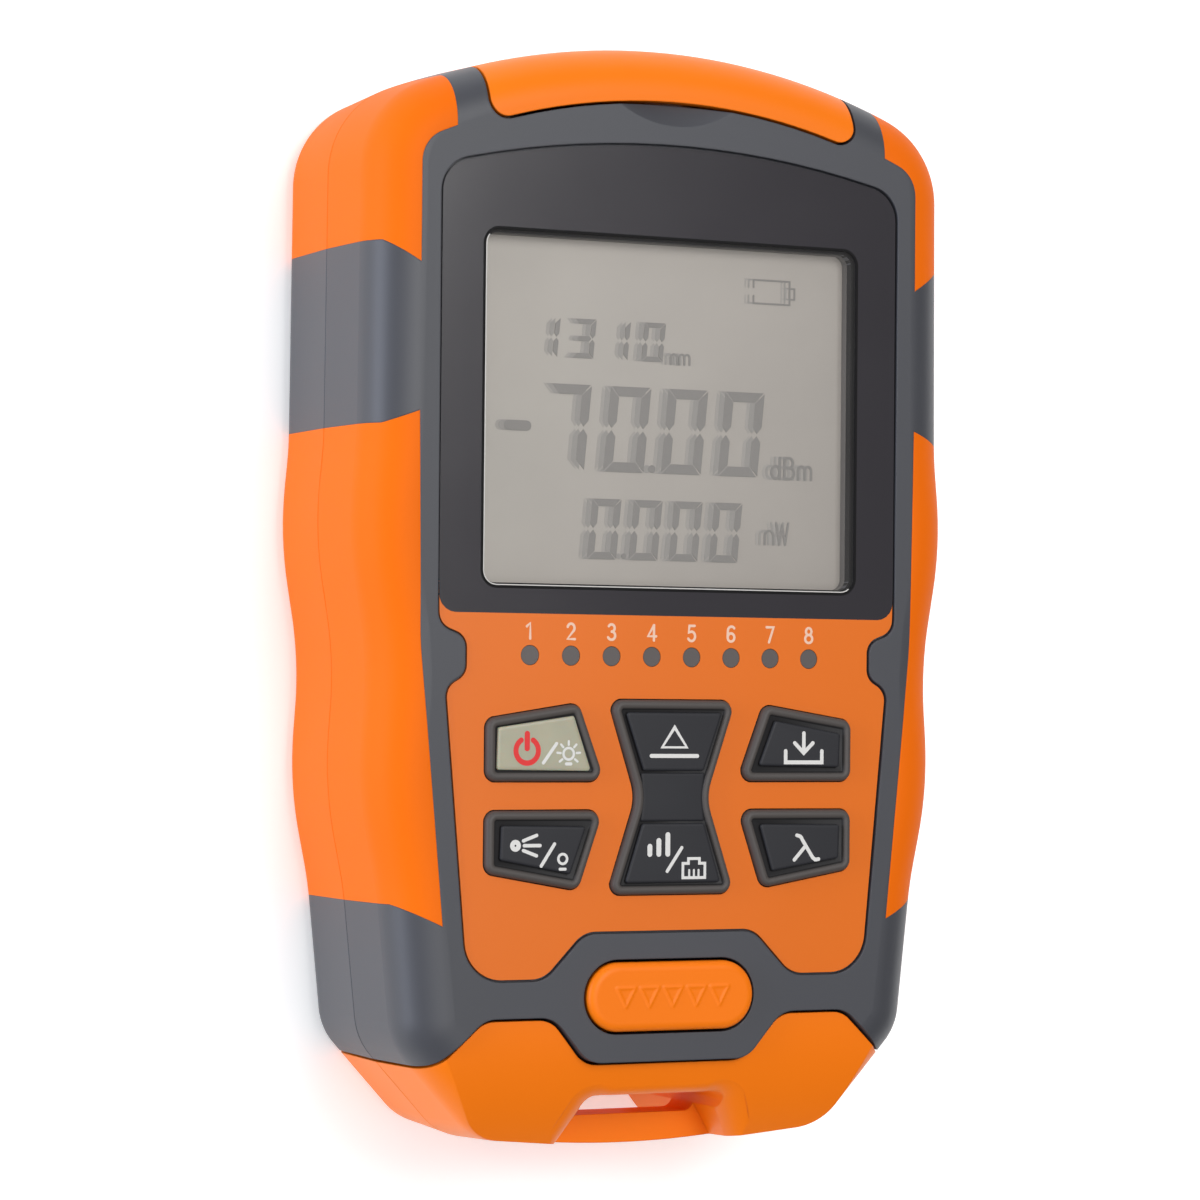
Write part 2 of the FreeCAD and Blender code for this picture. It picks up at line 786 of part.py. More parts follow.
# Front shell
front_space = boolean("Common", "front_space", front_hollow, hollow_region)
front_space_cut = boolean("Cut", "front_space_cut", front_space, bay_block)
front_grip_pockets = boolean("Cut", "front_grip_pockets", all_grips, front_core)
cover_space_front = prism(
    "cover_space_front", rounded(inset(COVER, -size.cover_gap)), PARTING, TALL
)
port_chamber_front = box(
    "port_chamber_front",
    ("-dims.cover_half - dims.cover_gap", "dims.deck_level", PARTING),
    ("dims.cover_half + dims.cover_gap", "2 * dims.half_length", PLATE),
)
thumb_scoop = document.addObject("Part::Sphere", "thumb_scoop")
thumb_scoop.setExpression("Radius", "dims.thumb_sphere")
thumb_scoop.setExpression("Placement.Base.y", "dims.cover_crown - dims.thumb_reach + dims.thumb_radius")
thumb_scoop.setExpression(
    "Placement.Base.z", f"{FACE} + sqrt(dims.thumb_sphere ^ 2 - dims.thumb_radius ^ 2)"
)
tab_slot = box(
    "tab_slot",
    ("-dims.tab_half - dims.tab_gap", "-dims.half_length", "dims.tab_floor - dims.tab_gap"),
    ("dims.tab_half + dims.tab_gap", "dims.tab_head + dims.tab_gap", f"{TAB_TOP} + dims.barb_height + 0.2"),
)
front_tools = fuse(
    "front_tools",
    [
        front_space_cut,
        front_grip_pockets,
        remote_space,
        cover_space_front,
        port_chamber_front,
        port_holes,
        thumb_scoop,
        bay_core,
        tab_slot,
    ],
)
front_blank = boolean("Cut", "front_blank", front_outer, front_tools)

front_shell = new_body("front_shell", front_blank)
pad(front_shell, circles(BOSSES, size.boss_radius), PARTING, f"{PLATE} - {PARTING}")
pocket(front_shell, circles(BOSSES, size.screw_radius), PARTING, "dims.screw_length / 3", up=True)
pocket(front_shell, rounded(inset(FILM, -size.film_gap)), FACE, "dims.film_sink + dims.film_thickness")
openings = rounded(inset(SCREEN, size.screen_ledge)) + key_openings
openings += circles(INDICATORS, size.indicator_half + size.indicator_gap)
pocket(front_shell, openings, FILM_SEAT, "dims.plate_thickness + dims.part_gap")
pocket(front_shell, rounded(inset(BUTTON, -size.button_gap)), FACE, f"{FACE} - ({PLATE})")
button_well = inset(BUTTON, -size.button_flange - size.button_gap)
pocket(front_shell, rounded(button_well), PLATE, f"{PLATE} - dims.tab_floor")

# Rear shell
rear_space = boolean("Common", "rear_space", rear_hollow, hollow_region)
rear_space_bay = boolean("Cut", "rear_space_bay", rear_space, bay_block)
rear_space_cut = boolean("Cut", "rear_space_cut", rear_space_bay, tub_block)
rear_grip_pockets = boolean("Cut", "rear_grip_pockets", all_grips, rear_core)
cover_space_rear = box(
    "cover_space_rear",
    ("-dims.cover_half - dims.cover_gap", "dims.hinge_level - dims.hinge_height - 0.1", UNDER),
    ("dims.cover_half + dims.cover_gap", "2 * dims.half_length", TALL),
)
port_chamber_rear = box(
    "port_chamber_rear",
    ("-dims.cover_half - dims.cover_gap", "dims.deck_level", "dims.hinge_height + dims.knuckle_radius"),
    ("dims.cover_half + dims.cover_gap", "2 * dims.half_length", TALL),
)
rear_tools = fuse(
    "rear_tools",
    [
        rear_space_cut,
        rear_grip_pockets,
        remote_space,
        cover_space_rear,
        port_chamber_rear,
        port_holes,
        bay_core,
    ],
)
rear_blank = boolean("Cut", "rear_blank", rear_outer, rear_tools)

rear_shell = new_body("rear_shell", rear_blank)
hinge_disc = circle(size.hinge_level, size.hinge_height, size.knuckle_radius)
pad(rear_shell, hinge_disc, "0", "2 * dims.knuckle_half", plane="YZ_Plane", both_ways=True)
web_low = size.hinge_height - size.knuckle_radius * 0.7
web_high = size.hinge_height + size.knuckle_radius * 0.7
hinge_web = rounded(rectangle(size.deck_level - size.deck_wall, web_low, size.hinge_level, web_high))
pad(rear_shell, hinge_web, "0", "2 * dims.knuckle_half", plane="YZ_Plane", both_ways=True)
pin_bore = circle(size.hinge_level, size.hinge_height, size.hinge_pin_radius)
pocket(rear_shell, pin_bore, "0", "2 * dims.knuckle_half + 1", plane="YZ_Plane", both_ways=True)
screw_boss(rear_shell, BOSSES)
tub_half = number(TUB_HALF)
tub_reach = number(TUB_REACH)
tub_mouth = rectangle(-tub_half, -tub_reach, tub_half, tub_reach, size.tub_wall)
pocket(rear_shell, rounded(tub_mouth), "0", "dims.rear_depth - dims.tub_roof", up=True)
door_half = tub_half + size.door_rim
door_reach = tub_reach + size.door_rim
door_seat = rectangle(-door_half, -door_reach, door_half, door_reach, size.door_corner)
pocket(rear_shell, rounded(door_seat), "0", "dims.door_sink + dims.door_thickness + dims.part_gap", up=True)
for side in (-1, 1):
    place = side * size.door_tab_place
    reach_half = size.door_tab_half + size.door_gap
    slot_outline = rectangle(
        place - reach_half, tub_reach - 0.1, place + reach_half, door_reach + size.door_tab_reach + size.door_gap
    )
    slot_floor = "dims.door_sink + dims.door_thickness - dims.door_tab_thickness - dims.part_gap"
    pocket(rear_shell, rounded(slot_outline), slot_floor, "dims.door_thickness * 2", up=True)

# Screen lens: printed surround, clear window, and the orange key panel below it
screen_surround = new_body("screen_surround")
pad(screen_surround, rounded(LENS), FILM_SEAT, "dims.film_thickness")
pocket(screen_surround, rounded(SCREEN), FILM_TOP, "dims.film_thickness")

lcd_window = new_body("lcd_window")
pad(lcd_window, rounded(SCREEN), FILM_SEAT, "dims.film_thickness - dims.part_gap")

key_panel = new_body("key_panel")
panel_outline = [point for point in FILM if point[1] < size.lens_foot]
panel_top = size.lens_foot + size.lens_corner + 0.4
right_points = [point for point in panel_outline if point[0] > 0]
KEY_PANEL = mirrored(right_points + [(size.lens_half, panel_top, 0.0)])
pad(key_panel, rounded(KEY_PANEL), FILM_SEAT, "dims.film_thickness")
pocket(key_panel, rounded(LENS), FILM_TOP, "dims.film_thickness")
panel_openings = key_openings + circles(INDICATORS, size.indicator_half)
pocket(key_panel, panel_openings, FILM_TOP, "dims.film_thickness")

# Display stack between the plate and the board
GLASS = inset(SCREEN, -size.glass_margin)
lcd_glass = new_body("lcd_glass")
pad(lcd_glass, rounded(GLASS), f"{PLATE} - dims.part_gap", "dims.glass_thickness", down=True)
lcd_backlight = new_body("lcd_backlight")
pad(lcd_backlight, rounded(GLASS), BOARD_TOP, f"{PLATE} - dims.part_gap - dims.glass_thickness - ({BOARD_TOP})")

# Light comb behind the indicator windows, one peg to a window
indicator_comb = new_body("indicator_comb")
comb_half = 3.5 * size.indicator_pitch + size.comb_width / 2
comb_bar = rectangle(
    -comb_half,
    size.indicator_level - size.comb_width / 2,
    comb_half,
    size.indicator_level + size.comb_width / 2,
    size.comb_width / 3,
)
COMB_TOP = PLATE + " - dims.part_gap"
pad(indicator_comb, rounded(comb_bar), COMB_TOP, "dims.comb_thickness", down=True)
pegs = circles(INDICATORS, size.indicator_half - size.part_gap / 2)
pad(indicator_comb, pegs, COMB_TOP, f"{FILM_TOP} - dims.part_gap / 2 - ({COMB_TOP})")

for place, (x, y) in enumerate(INDICATORS, start=1):
    lamp = new_body(f"wire_lamp_{place}")
    lamp_outline = rectangle(
        x - size.lamp_width / 2,
        y - size.lamp_length / 2,
        x + size.lamp_width / 2,
        y + size.lamp_length / 2,
    )
    pad(lamp, rounded(lamp_outline), BOARD_TOP, "dims.lamp_height")

# Rubber keys: retaining flange, rim, sunken groove and raised pad
pad_inset = size.key_rim + size.key_groove
for name, outline in KEYS.items():
    key = new_body(name)
    flange = inset(outline, -size.flange_reach)
    pad(key, rounded(flange), KEY_FLOOR, "dims.flange_thickness")
    pad(key, rounded(outline), KEY_FLOOR, f"{KEY_TOP} - ({KEY_FLOOR})")
    soften(key, KEY_TOP, "dims.key_edge")
    if name == "rocker_key":
        upper = (size.rocker_head, rocker_middle + size.rocker_waist * 0.55)
        lower = (rocker_middle - size.rocker_waist * 0.55, size.rocker_foot)
        wells = []
        for head, foot in (upper, lower):
            lean = (size.rocker_half - size.rocker_waist) / (size.rocker_head - rocker_middle)
            width_head = size.rocker_waist + lean * abs(head - rocker_middle)
            width_foot = size.rocker_waist + lean * abs(foot - rocker_middle)
            wells.append(
                [
                    (-width_foot, foot, size.key_corner),
                    (width_foot, foot, size.key_corner),
                    (width_head, head, size.key_corner),
                    (-width_head, head, size.key_corner),
                ]
            )
    else:
        wells = [outline]
    for well in wells:
        pocket(key, rounded(inset(well, size.key_rim)), KEY_TOP, "dims.key_groove_depth")
        if name == "power_key":
            continue
        raised = inset(well, pad_inset)
        pad(
            key,
            rounded(raised),
            f"{KEY_TOP} - dims.key_groove_depth",
            "dims.key_groove_depth + dims.key_pad_step",
        )

# Translucent insert in the power key's rim
power_key_insert = new_body("power_key_insert")
pad(
    power_key_insert,
    rounded(inset(KEYS["power_key"], size.key_rim + size.part_gap)),
    f"{KEY_TOP} - dims.key_groove_depth",
    "dims.key_groove_depth - dims.part_gap",
)

# Silicone web that holds the keys in line
keypad_web = new_body("keypad_web")
web_low_y = size.rocker_foot - size.web_margin
web_high_y = size.rocker_head + size.web_margin
web_side = size.key_outer + size.web_margin
WEB = rectangle(-web_side, web_low_y, web_side, web_high_y, size.key_corner)
pad(keypad_web, rounded(WEB), KEY_FLOOR, "dims.web_thickness")
web_openings = []
for outline in KEYS.values():
    web_openings += rounded(inset(outline, -size.flange_reach - size.web_gap))
pocket(keypad_web, web_openings, f"{KEY_FLOOR} + dims.web_thickness", "dims.web_thickness")

# Main board, notched round the upper bosses
main_board = new_body("main_board")
board_outline = rectangle(
    -size.board_half, size.board_foot, size.board_half, size.board_head, size.board_corner
)
pad(main_board, rounded(board_outline), BOARD, "dims.board_thickness")
for x, y in UPPER_BOSSES:
    notch_radius = size.boss_radius + 2 * size.key_gap
    side = 1 if x > 0 else -1
    notch = rectangle(
        min(x - notch_radius, side * size.board_half * 2) if side < 0 else x - notch_radius,
        y - notch_radius,
        x + notch_radius if side < 0 else size.board_half * 2,
        size.board_head * 2,
        0.0,
    )
    pocket(main_board, rounded(notch), BOARD_TOP, "dims.board_thickness")

# One tactile switch under each outer key and two under the rocker
outer_centre = (size.key_outer + size.upper_key_narrow) / 2
upper_centre = (size.upper_key_foot + size.upper_key_peak) / 2
lower_centre = (size.lower_key_head + size.lower_key_peak) / 2
rocker_press = size.rocker_neck_radius + size.switch_half
SWITCHES = {
    "power_switch": (-outer_centre, upper_centre),
    "save_switch": (outer_centre, upper_centre),
    "laser_switch": (-outer_centre, lower_centre),
    "wavelength_switch": (outer_centre, lower_centre),
    "reference_switch": (0.0, rocker_middle + rocker_press),
    "level_switch": (0.0, rocker_middle - rocker_press),
}
for name, (x, y) in SWITCHES.items():
    switch = new_body(name)
    case = rectangle(
        x - size.switch_half, y - size.switch_half, x + size.switch_half, y + size.switch_half
    )
    pad(switch, rounded(case), BOARD_TOP, "dims.switch_height")
    pad(switch, circle(x, y, size.plunger_half), BOARD_TOP, "dims.switch_height + dims.plunger_height")

# Release button: rounded cap with a stem over the remote's catch tab
release_button = new_body("release_button")
BUTTON_TOP = FACE + " + dims.button_rise"
BUTTON_FLOOR = PLATE + " - dims.part_gap - dims.button_flange_thickness"
pad(release_button, rounded(inset(BUTTON, -size.button_flange)), BUTTON_FLOOR, "dims.button_flange_thickness")
pad(release_button, rounded(BUTTON), BUTTON_FLOOR, f"{BUTTON_TOP} - ({BUTTON_FLOOR})")
soften(release_button, BUTTON_TOP, "dims.button_edge")
stem_level = size.button_level - size.button_width / 5
stem = rectangle(
    -size.button_stem,
    stem_level - size.button_width / 8,
    size.button_stem,
    stem_level + size.button_width / 8,
)
STEM_FLOOR = TAB_TOP + " + dims.button_travel + 0.2"
pad(release_button, rounded(stem), STEM_FLOOR, f"{BUTTON_FLOOR} - ({STEM_FLOOR})")

# Leaf spring between the bay roof and the button
release_spring = new_body("release_spring")
spring_top = number(BUTTON_FLOOR) - size.part_gap
spring_low = number(BAY_ROOF) + size.part_gap
spring_end = number("dims.remote_jack_head") - size.bay_wall
spring_start = size.button_level + size.button_width / 4
leaf = [
    (spring_end, spring_low),
    (spring_end, spring_low + size.spring_leaf),
    (spring_end - size.spring_span / 3, spring_low + size.spring_leaf),
    (spring_start + 1, spring_top),
    (spring_start, spring_top),
    (spring_start, spring_top - size.spring_leaf),
    (spring_start + 1 - size.spring_leaf / 2, spring_top - size.spring_leaf),
    (spring_end - size.spring_span / 3 - size.spring_leaf / 2, spring_low),
]
pad(release_spring, polygon(leaf), "0", "dims.spring_width", plane="YZ_Plane", both_ways=True)

# Remote: both halves cut from the outer form below the seam
strap_slot = prism(
    "strap_slot",
    rounded(
        rectangle(-size.slot_half, size.slot_foot, size.slot_half, size.slot_head, size.slot_corner)
    ),
    UNDER,
    TALL,
)
ARCH = [
    (-size.arch_half - size.arch_corner, -2 * size.half_length, 0.0),
    (size.arch_half + size.arch_corner, -2 * size.half_length, 0.0),
    (size.arch_half + size.arch_corner / 3, -size.half_length, 0.0),
    (size.arch_half - size.arch_corner, size.slot_head, size.arch_corner),
    (-size.arch_half + size.arch_corner, size.slot_head, size.arch_corner),
    (-size.arch_half - size.arch_corner / 3, -size.half_length, 0.0),
]
front_arch = prism("front_arch", rounded(ARCH), f"{PARTING} + dims.bar_thickness / 2", TALL)
rear_arch = new_body("rear_arch")
pad(rear_arch, rounded(ARCH), f"{PARTING} - dims.bar_thickness / 2", TALL, down=True)
nose_side = new_body("nose_side")
nose_top = number(FACE) - size.nose_drop
nose_centre = nose_top - size.nose_radius
nose_arc_end = size.nose_start - size.nose_radius
nose_middle = size.nose_radius * math.sqrt(0.5)
nose_profile = [
    Part.Arc(
        Vector(nose_arc_end, nose_centre, 0),
        Vector(size.nose_start - nose_middle, nose_centre + nose_middle, 0),
        Vector(size.nose_start, nose_top, 0),
    ),
    Part.LineSegment(Vector(size.nose_start, nose_top, 0), Vector(0, nose_top, 0)),
    Part.LineSegment(Vector(0, nose_top, 0), Vector(0, -FAR, 0)),
    Part.LineSegment(Vector(0, -FAR, 0), Vector(nose_arc_end, -FAR, 0)),
    Part.LineSegment(Vector(nose_arc_end, -FAR, 0), Vector(nose_arc_end, nose_centre, 0)),
]
pad(nose_side, nose_profile, "0", "4 * dims.half_length", plane="YZ_Plane", both_ways=True)

jack_pocket = box(
    "jack_pocket",
    (
        "-dims.jack_width / 2",
        "dims.remote_jack_foot",
        "dims.jack_floor - dims.remote_board_thickness",
    ),
    ("dims.jack_width / 2", "0", JACK_HEAD),
)
remote_tools = fuse("remote_tools", [strap_slot, front_arch, rear_arch, jack_pocket])
lobe_low = -size.half_length + size.skin
lobe_high = size.seam_level - size.seam_gap - size.skin
lobe_inner = size.arch_half + size.skin
lobe_prisms = [
    prism(
        f"lobe_region_{side}",
        rounded(outline),
        UNDER,
        TALL,
    )
    for side, outline in (
        ("right", rectangle(lobe_inner, lobe_low, FAR, lobe_high)),
        ("left", rectangle(-FAR, lobe_low, -lobe_inner, lobe_high)),
    )
]
lobes = fuse("lobe_regions", lobe_prisms)
for half, outer, core in (("front", front_outer, front_core), ("rear", rear_outer, rear_core)):
    lump = boolean("Common", f"remote_{half}_lump", outer, remote_region)
    if half == "front":
        lump = boolean("Common", "remote_front_nosed", lump, nose_side)
    lobe_space = boolean("Common", f"remote_{half}_lobes", core, lobes)
    if half == "front":
        lobe_space = boolean("Cut", "remote_front_lobes_cut", lobe_space, box(
            "nose_guard", ("-2 * dims.half_length", "-2 * dims.half_length", f"{PARTING} + dims.front_depth / 3"),
            ("2 * dims.half_length", "0", TALL),
        ))
    opened = boolean("Cut", f"remote_{half}_opened", lump, remote_tools)
    boolean("Cut", f"remote_{half}_blank", opened, lobe_space)

remote_front_shell = new_body("remote_front_shell", document.getObject("remote_front_blank"))
tab_foot = size.seam_level - size.seam_gap - size.skin
tab_outline = rectangle(-size.tab_half, tab_foot, size.tab_half, size.tab_head)
pad(remote_front_shell, rounded(tab_outline), "dims.tab_floor", "dims.tab_thickness")
barb_outline = rectangle(
    -size.tab_half / 2, size.tab_head - size.barb_length, size.tab_half / 2, size.tab_head
)
pad(remote_front_shell, rounded(barb_outline), TAB_TOP, "dims.barb_height")

remote_rear_shell = new_body("remote_rear_shell", document.getObject("remote_rear_blank"))
REMOTE_SCREWS = [(side * size.remote_screw_place, size.remote_screw_level) for side in (-1, 1)]
screw_boss(remote_rear_shell, REMOTE_SCREWS)
pad(remote_front_shell, circles(REMOTE_SCREWS, size.boss_radius), PARTING, "dims.front_depth / 3")
pocket(remote_front_shell, circles(REMOTE_SCREWS, size.screw_radius), PARTING, "dims.front_depth / 4", up=True)


def modular_jack(label, centre, floor, foot, head):
    """Modular jack block with a keyed socket opening at its upper end."""
    body = new_body(label)
    half = size.jack_width / 2
    block = rectangle(centre - half, foot, centre + half, head)
    pad(body, rounded(block), floor, "dims.jack_height")
    socket = rectangle(
        centre - size.socket_width / 2, head - size.socket_depth, centre + size.socket_width / 2, head + 1
    )
    ceiling = f"{floor} + dims.socket_sill + dims.socket_key_height + dims.socket_height"
    body_cut = new_body(label + "_socket_cutter")
    pad(body_cut, rounded(socket), ceiling, "dims.socket_height", down=True)
    keyway = rectangle(
        centre - size.socket_key_width / 2,
        head - size.socket_depth,
        centre + size.socket_key_width / 2,
        head + 1,
    )
    pad(body_cut, rounded(keyway), f"{floor} + dims.socket_sill", "dims.socket_key_height + dims.socket_height / 2")
    return body, body_cut


remote_jack_body, remote_socket = modular_jack(
    "remote_jack_block", 0.0, "dims.jack_floor", size.remote_jack_foot, size.remote_jack_head
)
remote_jack = boolean("Cut", "remote_jack", remote_jack_body, remote_socket)
network_jack_body, network_socket = modular_jack(
    "network_jack_block",
    size.network_jack_place,
    "dims.network_jack_floor",
    size.network_jack_head - size.network_jack_length,
    size.network_jack_head,
)
network_jack = boolean("Cut", "network_jack", network_jack_body, network_socket)

remote_board = new_body("remote_board")
remote_board_outline = rectangle(
    -size.jack_width / 2, size.remote_jack_foot, size.jack_width / 2, size.remote_jack_head
)
pad(remote_board, rounded(remote_board_outline), "dims.jack_floor", "dims.remote_board_thickness", down=True)

# Port cover: outer skin above its curved lip, walls at both ends, and knuckles at the back
cover_plan = prism("cover_plan", rounded(COVER), "dims.hinge_height + dims.knuckle_radius + 0.2", TALL)
cover_back = box(
    "cover_back",
    ("-dims.cover_half", "dims.hinge_level", UNDER),
    ("dims.cover_half", "2 * dims.half_length", "dims.hinge_height + dims.knuckle_radius + 0.2"),
)
cover_zone = fuse("cover_zone", [cover_plan, cover_back])
whole_outer = fuse("whole_outer", [front_outer, rear_outer])
whole_core = fuse("whole_core", [front_core, rear_core])
cover_lump = boolean("Common", "cover_lump", whole_outer, cover_zone)
end_wall = "(dims.cover_half - dims.skin)"
cover_middle = box(
    "cover_middle", (f"-{end_wall}", "0", UNDER), (end_wall, "2 * dims.half_length", TALL)
)
cover_hollow = boolean("Common", "cover_hollow", whole_core, cover_middle)
cover_shell = boolean("Cut", "cover_shell", cover_lump, cover_hollow)
top_cover = new_body("top_cover", cover_shell)
knuckle_length = size.cover_half - size.knuckle_half - size.cover_gap
for side in (-1, 1):
    start = side * size.cover_half if side < 0 else size.knuckle_half + size.cover_gap
    pad(top_cover, hinge_disc, f"{start}", f"{knuckle_length}", plane="YZ_Plane")
knuckle_room = rectangle(
    -size.knuckle_half - size.cover_gap,
    size.hinge_level - 1,
    size.knuckle_half + size.cover_gap,
    size.hinge_level + size.knuckle_radius + size.cover_gap,
    0.0,
)
pocket(top_cover, rounded(knuckle_room), "dims.hinge_height + dims.knuckle_radius", TALL)
cover_bore = circle(size.hinge_level, size.hinge_height, size.hinge_pin_radius + size.hinge_pin_gap)
pocket(top_cover, cover_bore, "0", "2 * dims.cover_half + 2", plane="YZ_Plane", both_ways=True)

hinge_pin = new_body("hinge_pin")
pin_disc = circle(size.hinge_level, size.hinge_height, size.hinge_pin_radius)
pad(hinge_pin, pin_disc, "0", "2 * dims.hinge_pin_half", plane="YZ_Plane", both_ways=True)


def port(label, place, radius, head):
    """Turned port: tail, flange behind the deck, barrel, and a sleeve with the ferrule bore."""
    deck = size.deck_level - size.deck_wall
    tail = deck - size.port_flange - size.port_tail
    flange = radius + size.port_flange
    inner = radius - 0.9
    sleeve = size.ferrule_radius + size.sleeve_wall
    profile = [
        (0.0, tail),
        (radius + 0.3, tail),
        (radius + 0.3, deck - size.port_flange),
        (flange, deck - size.port_flange),
        (flange, deck),
        (radius, deck),
        (radius, head),
        (inner, head),
        (inner, head - 4.5),
        (sleeve, head - 4.5),
        (sleeve, head - 0.6),
        (size.ferrule_radius, head - 0.6),
        (size.ferrule_radius, deck),
        (0.0, deck),
    ]
    body = new_body(label)
    revolve(body, polygon(profile), "dims.port_height", (place, 0.0))
    return body


port("power_port", size.power_port_place, size.power_port_radius, size.power_port_head)
port("laser_port", size.laser_port_place, size.laser_port_radius, size.laser_port_head)

torch_lamp = new_body("torch_lamp")
torch_base = size.deck_level - size.deck_wall - size.port_flange
torch_shoulder = size.torch_head - size.torch_radius
torch_profile = [
    Part.LineSegment(Vector(0, torch_base, 0), Vector(size.torch_radius + 0.4, torch_base, 0)),
    Part.LineSegment(
        Vector(size.torch_radius + 0.4, torch_base, 0),
        Vector(size.torch_radius + 0.4, torch_base + size.port_flange, 0),
    ),
    Part.LineSegment(
        Vector(size.torch_radius + 0.4, torch_base + size.port_flange, 0),
        Vector(size.torch_radius, torch_base + size.port_flange, 0),
    ),
    Part.LineSegment(
        Vector(size.torch_radius, torch_base + size.port_flange, 0),
        Vector(size.torch_radius, torch_shoulder, 0),
    ),
    Part.Arc(
        Vector(size.torch_radius, torch_shoulder, 0),
        Vector(size.torch_radius * math.sqrt(0.5), torch_shoulder + size.torch_radius * math.sqrt(0.5), 0),
        Vector(0, size.torch_head, 0),
    ),
    Part.LineSegment(Vector(0, size.torch_head, 0), Vector(0, torch_base, 0)),
]
revolve(torch_lamp, torch_profile, "dims.port_height", (size.torch_place, 0.0))

# Battery cells, their end contacts and the door
for place in range(3):
    cell = new_body(f"battery_cell_{place + 1}")
    flip = -1 if place == 1 else 1
    half_cell = size.cell_length / 2
    cell_profile = [
        (0.0, -half_cell),
        (size.cell_radius, -half_cell),
        (size.cell_radius, half_cell),
        (size.nub_radius, half_cell),
        (size.nub_radius, half_cell + size.nub_length),
        (0.0, half_cell + size.nub_length),
    ]
    turned = [(r, y * flip) for r, y in cell_profile]
    revolve(cell, polygon(turned), "dims.cell_height", ((place - 1) * size.cell_pitch, 0.0))

contact_low = size.cell_height - size.cell_radius * 0.8
contact_high = size.cell_height + size.cell_radius * 0.8
for name, end in (("upper_contacts", 1), ("lower_contacts", -1)):
    contacts = new_body(name)
    wall = end * tub_reach
    face = end * (tub_reach - size.contact_thickness)
    strip = rectangle(
        -tub_half + size.tub_wall + size.contact_thickness,
        min(wall, face),
        tub_half - size.tub_wall - size.contact_thickness,
        max(wall, face),
    )
    pad(contacts, rounded(strip), f"{contact_low}", f"{contact_high - contact_low}")
    for place in range(3):
        nub_here = (end > 0) != (place == 1)
        reach_in = size.cell_length / 2 + (size.nub_length if nub_here else 0.0) + size.part_gap
        centre = (place - 1) * size.cell_pitch
        bump = rectangle(
            centre - size.nub_radius, min(face, end * reach_in), centre + size.nub_radius, max(face, end * reach_in)
        )
        middle = size.cell_height - size.nub_radius
        pad(contacts, rounded(bump), f"{middle}", f"{2 * size.nub_radius}")

battery_door = new_body("battery_door")
door_outline = inset(door_seat, size.door_gap)
pad(battery_door, rounded(door_outline), "dims.door_sink", "dims.door_thickness")
for side in (-1, 1):
    place = side * size.door_tab_place
    tab = rectangle(
        place - size.door_tab_half,
        door_reach - size.door_gap - 1,
        place + size.door_tab_half,
        door_reach + size.door_tab_reach,
    )
    tab_floor = "dims.door_sink + dims.door_thickness - dims.door_tab_thickness"
    pad(battery_door, rounded(tab), tab_floor, "dims.door_tab_thickness")
door_edge = door_reach - size.door_gap
bevel = [
    (door_edge - size.door_bevel, size.door_sink - 1),
    (door_edge + 1, size.door_sink - 1),
    (door_edge + 1, size.door_sink + size.door_bevel - 0.1),
    (door_edge, size.door_sink + size.door_bevel - 0.1),
    (door_edge - size.door_bevel, size.door_sink),
]
pocket(battery_door, polygon(bevel), "0", "4 * dims.cell_pitch", plane="YZ_Plane", both_ways=True)
grooves = []
for groove in range(4):
    level = -door_reach + 3 + groove * 1.6
    grooves += rounded(rectangle(-size.door_tab_place, level, size.door_tab_place, level + 0.8))
pocket(battery_door, grooves, "dims.door_sink", "dims.door_thickness / 4", up=True)


def screw_group(label, places):
    """Identical screws as separate solids of one node."""
    screws = []
    for x, y in places:
        head = document.addObject("Part::Cylinder", label + "_head")
        head.setExpression("Radius", "dims.screw_head_radius")
        head.setExpression("Height", "dims.screw_head_height")
        head.Placement = Placement(Vector(x, y, 0), Rotation())
        head.setExpression("Placement.Base.z", "dims.screw_sink")
        shank = document.addObject("Part::Cylinder", label + "_shank")
        shank.setExpression("Radius", "dims.screw_radius")
        shank.setExpression("Height", "dims.screw_length")
        shank.Placement = Placement(Vector(x, y, 0), Rotation())
        shank.setExpression("Placement.Base.z", "dims.screw_sink")
        screws.append(fuse(label + "_one", [head, shank]))
    group = document.addObject("Part::Compound", label)
    group.Label = label
    group.Links = screws
    document.recompute()
    return group


screw_group("housing_screws", BOSSES)
screw_group("remote_screws", REMOTE_SCREWS)

NODES = (
    ["front_shell", "rear_shell", "screen_surround", "lcd_window", "key_panel", "lcd_glass", "lcd_backlight"]
    + [f"grip_{half}_{place}" for half in ("front", "rear") for place in grip_tools]
    + ["indicator_comb"]
    + [f"wire_lamp_{place}" for place in range(1, 9)]
    + list(KEYS)
    + ["power_key_insert", "keypad_web", "main_board"]
    + list(SWITCHES)
    + ["release_button", "release_spring", "remote_front_shell", "remote_rear_shell", "remote_jack"]
    + ["remote_board", "remote_screws", "top_cover", "hinge_pin", "power_port", "laser_port"]
    + ["network_jack", "torch_lamp", "battery_cell_1", "battery_cell_2", "battery_cell_3"]
    + ["upper_contacts", "lower_contacts", "battery_door", "housing_screws"]
)

document.recompute()
for item in document.Objects:
    if "Invalid" in item.State or "Error" in item.State:
        raise RuntimeError("failed feature: " + item.Label)

os.makedirs("parts", exist_ok=True)
for name in NODES:
    found = document.getObjectsByLabel(name)
    shape = found[0].Shape
    if shape.isNull() or not shape.isValid():
        raise RuntimeError("bad solid: " + name)
    shape.exportStep(f"parts/{name}.step")
    print(name, len(shape.Solids), round(shape.Volume, 1))
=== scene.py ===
import math

import bmesh
import bpy
import numpy as np
from mathutils import Matrix, Vector


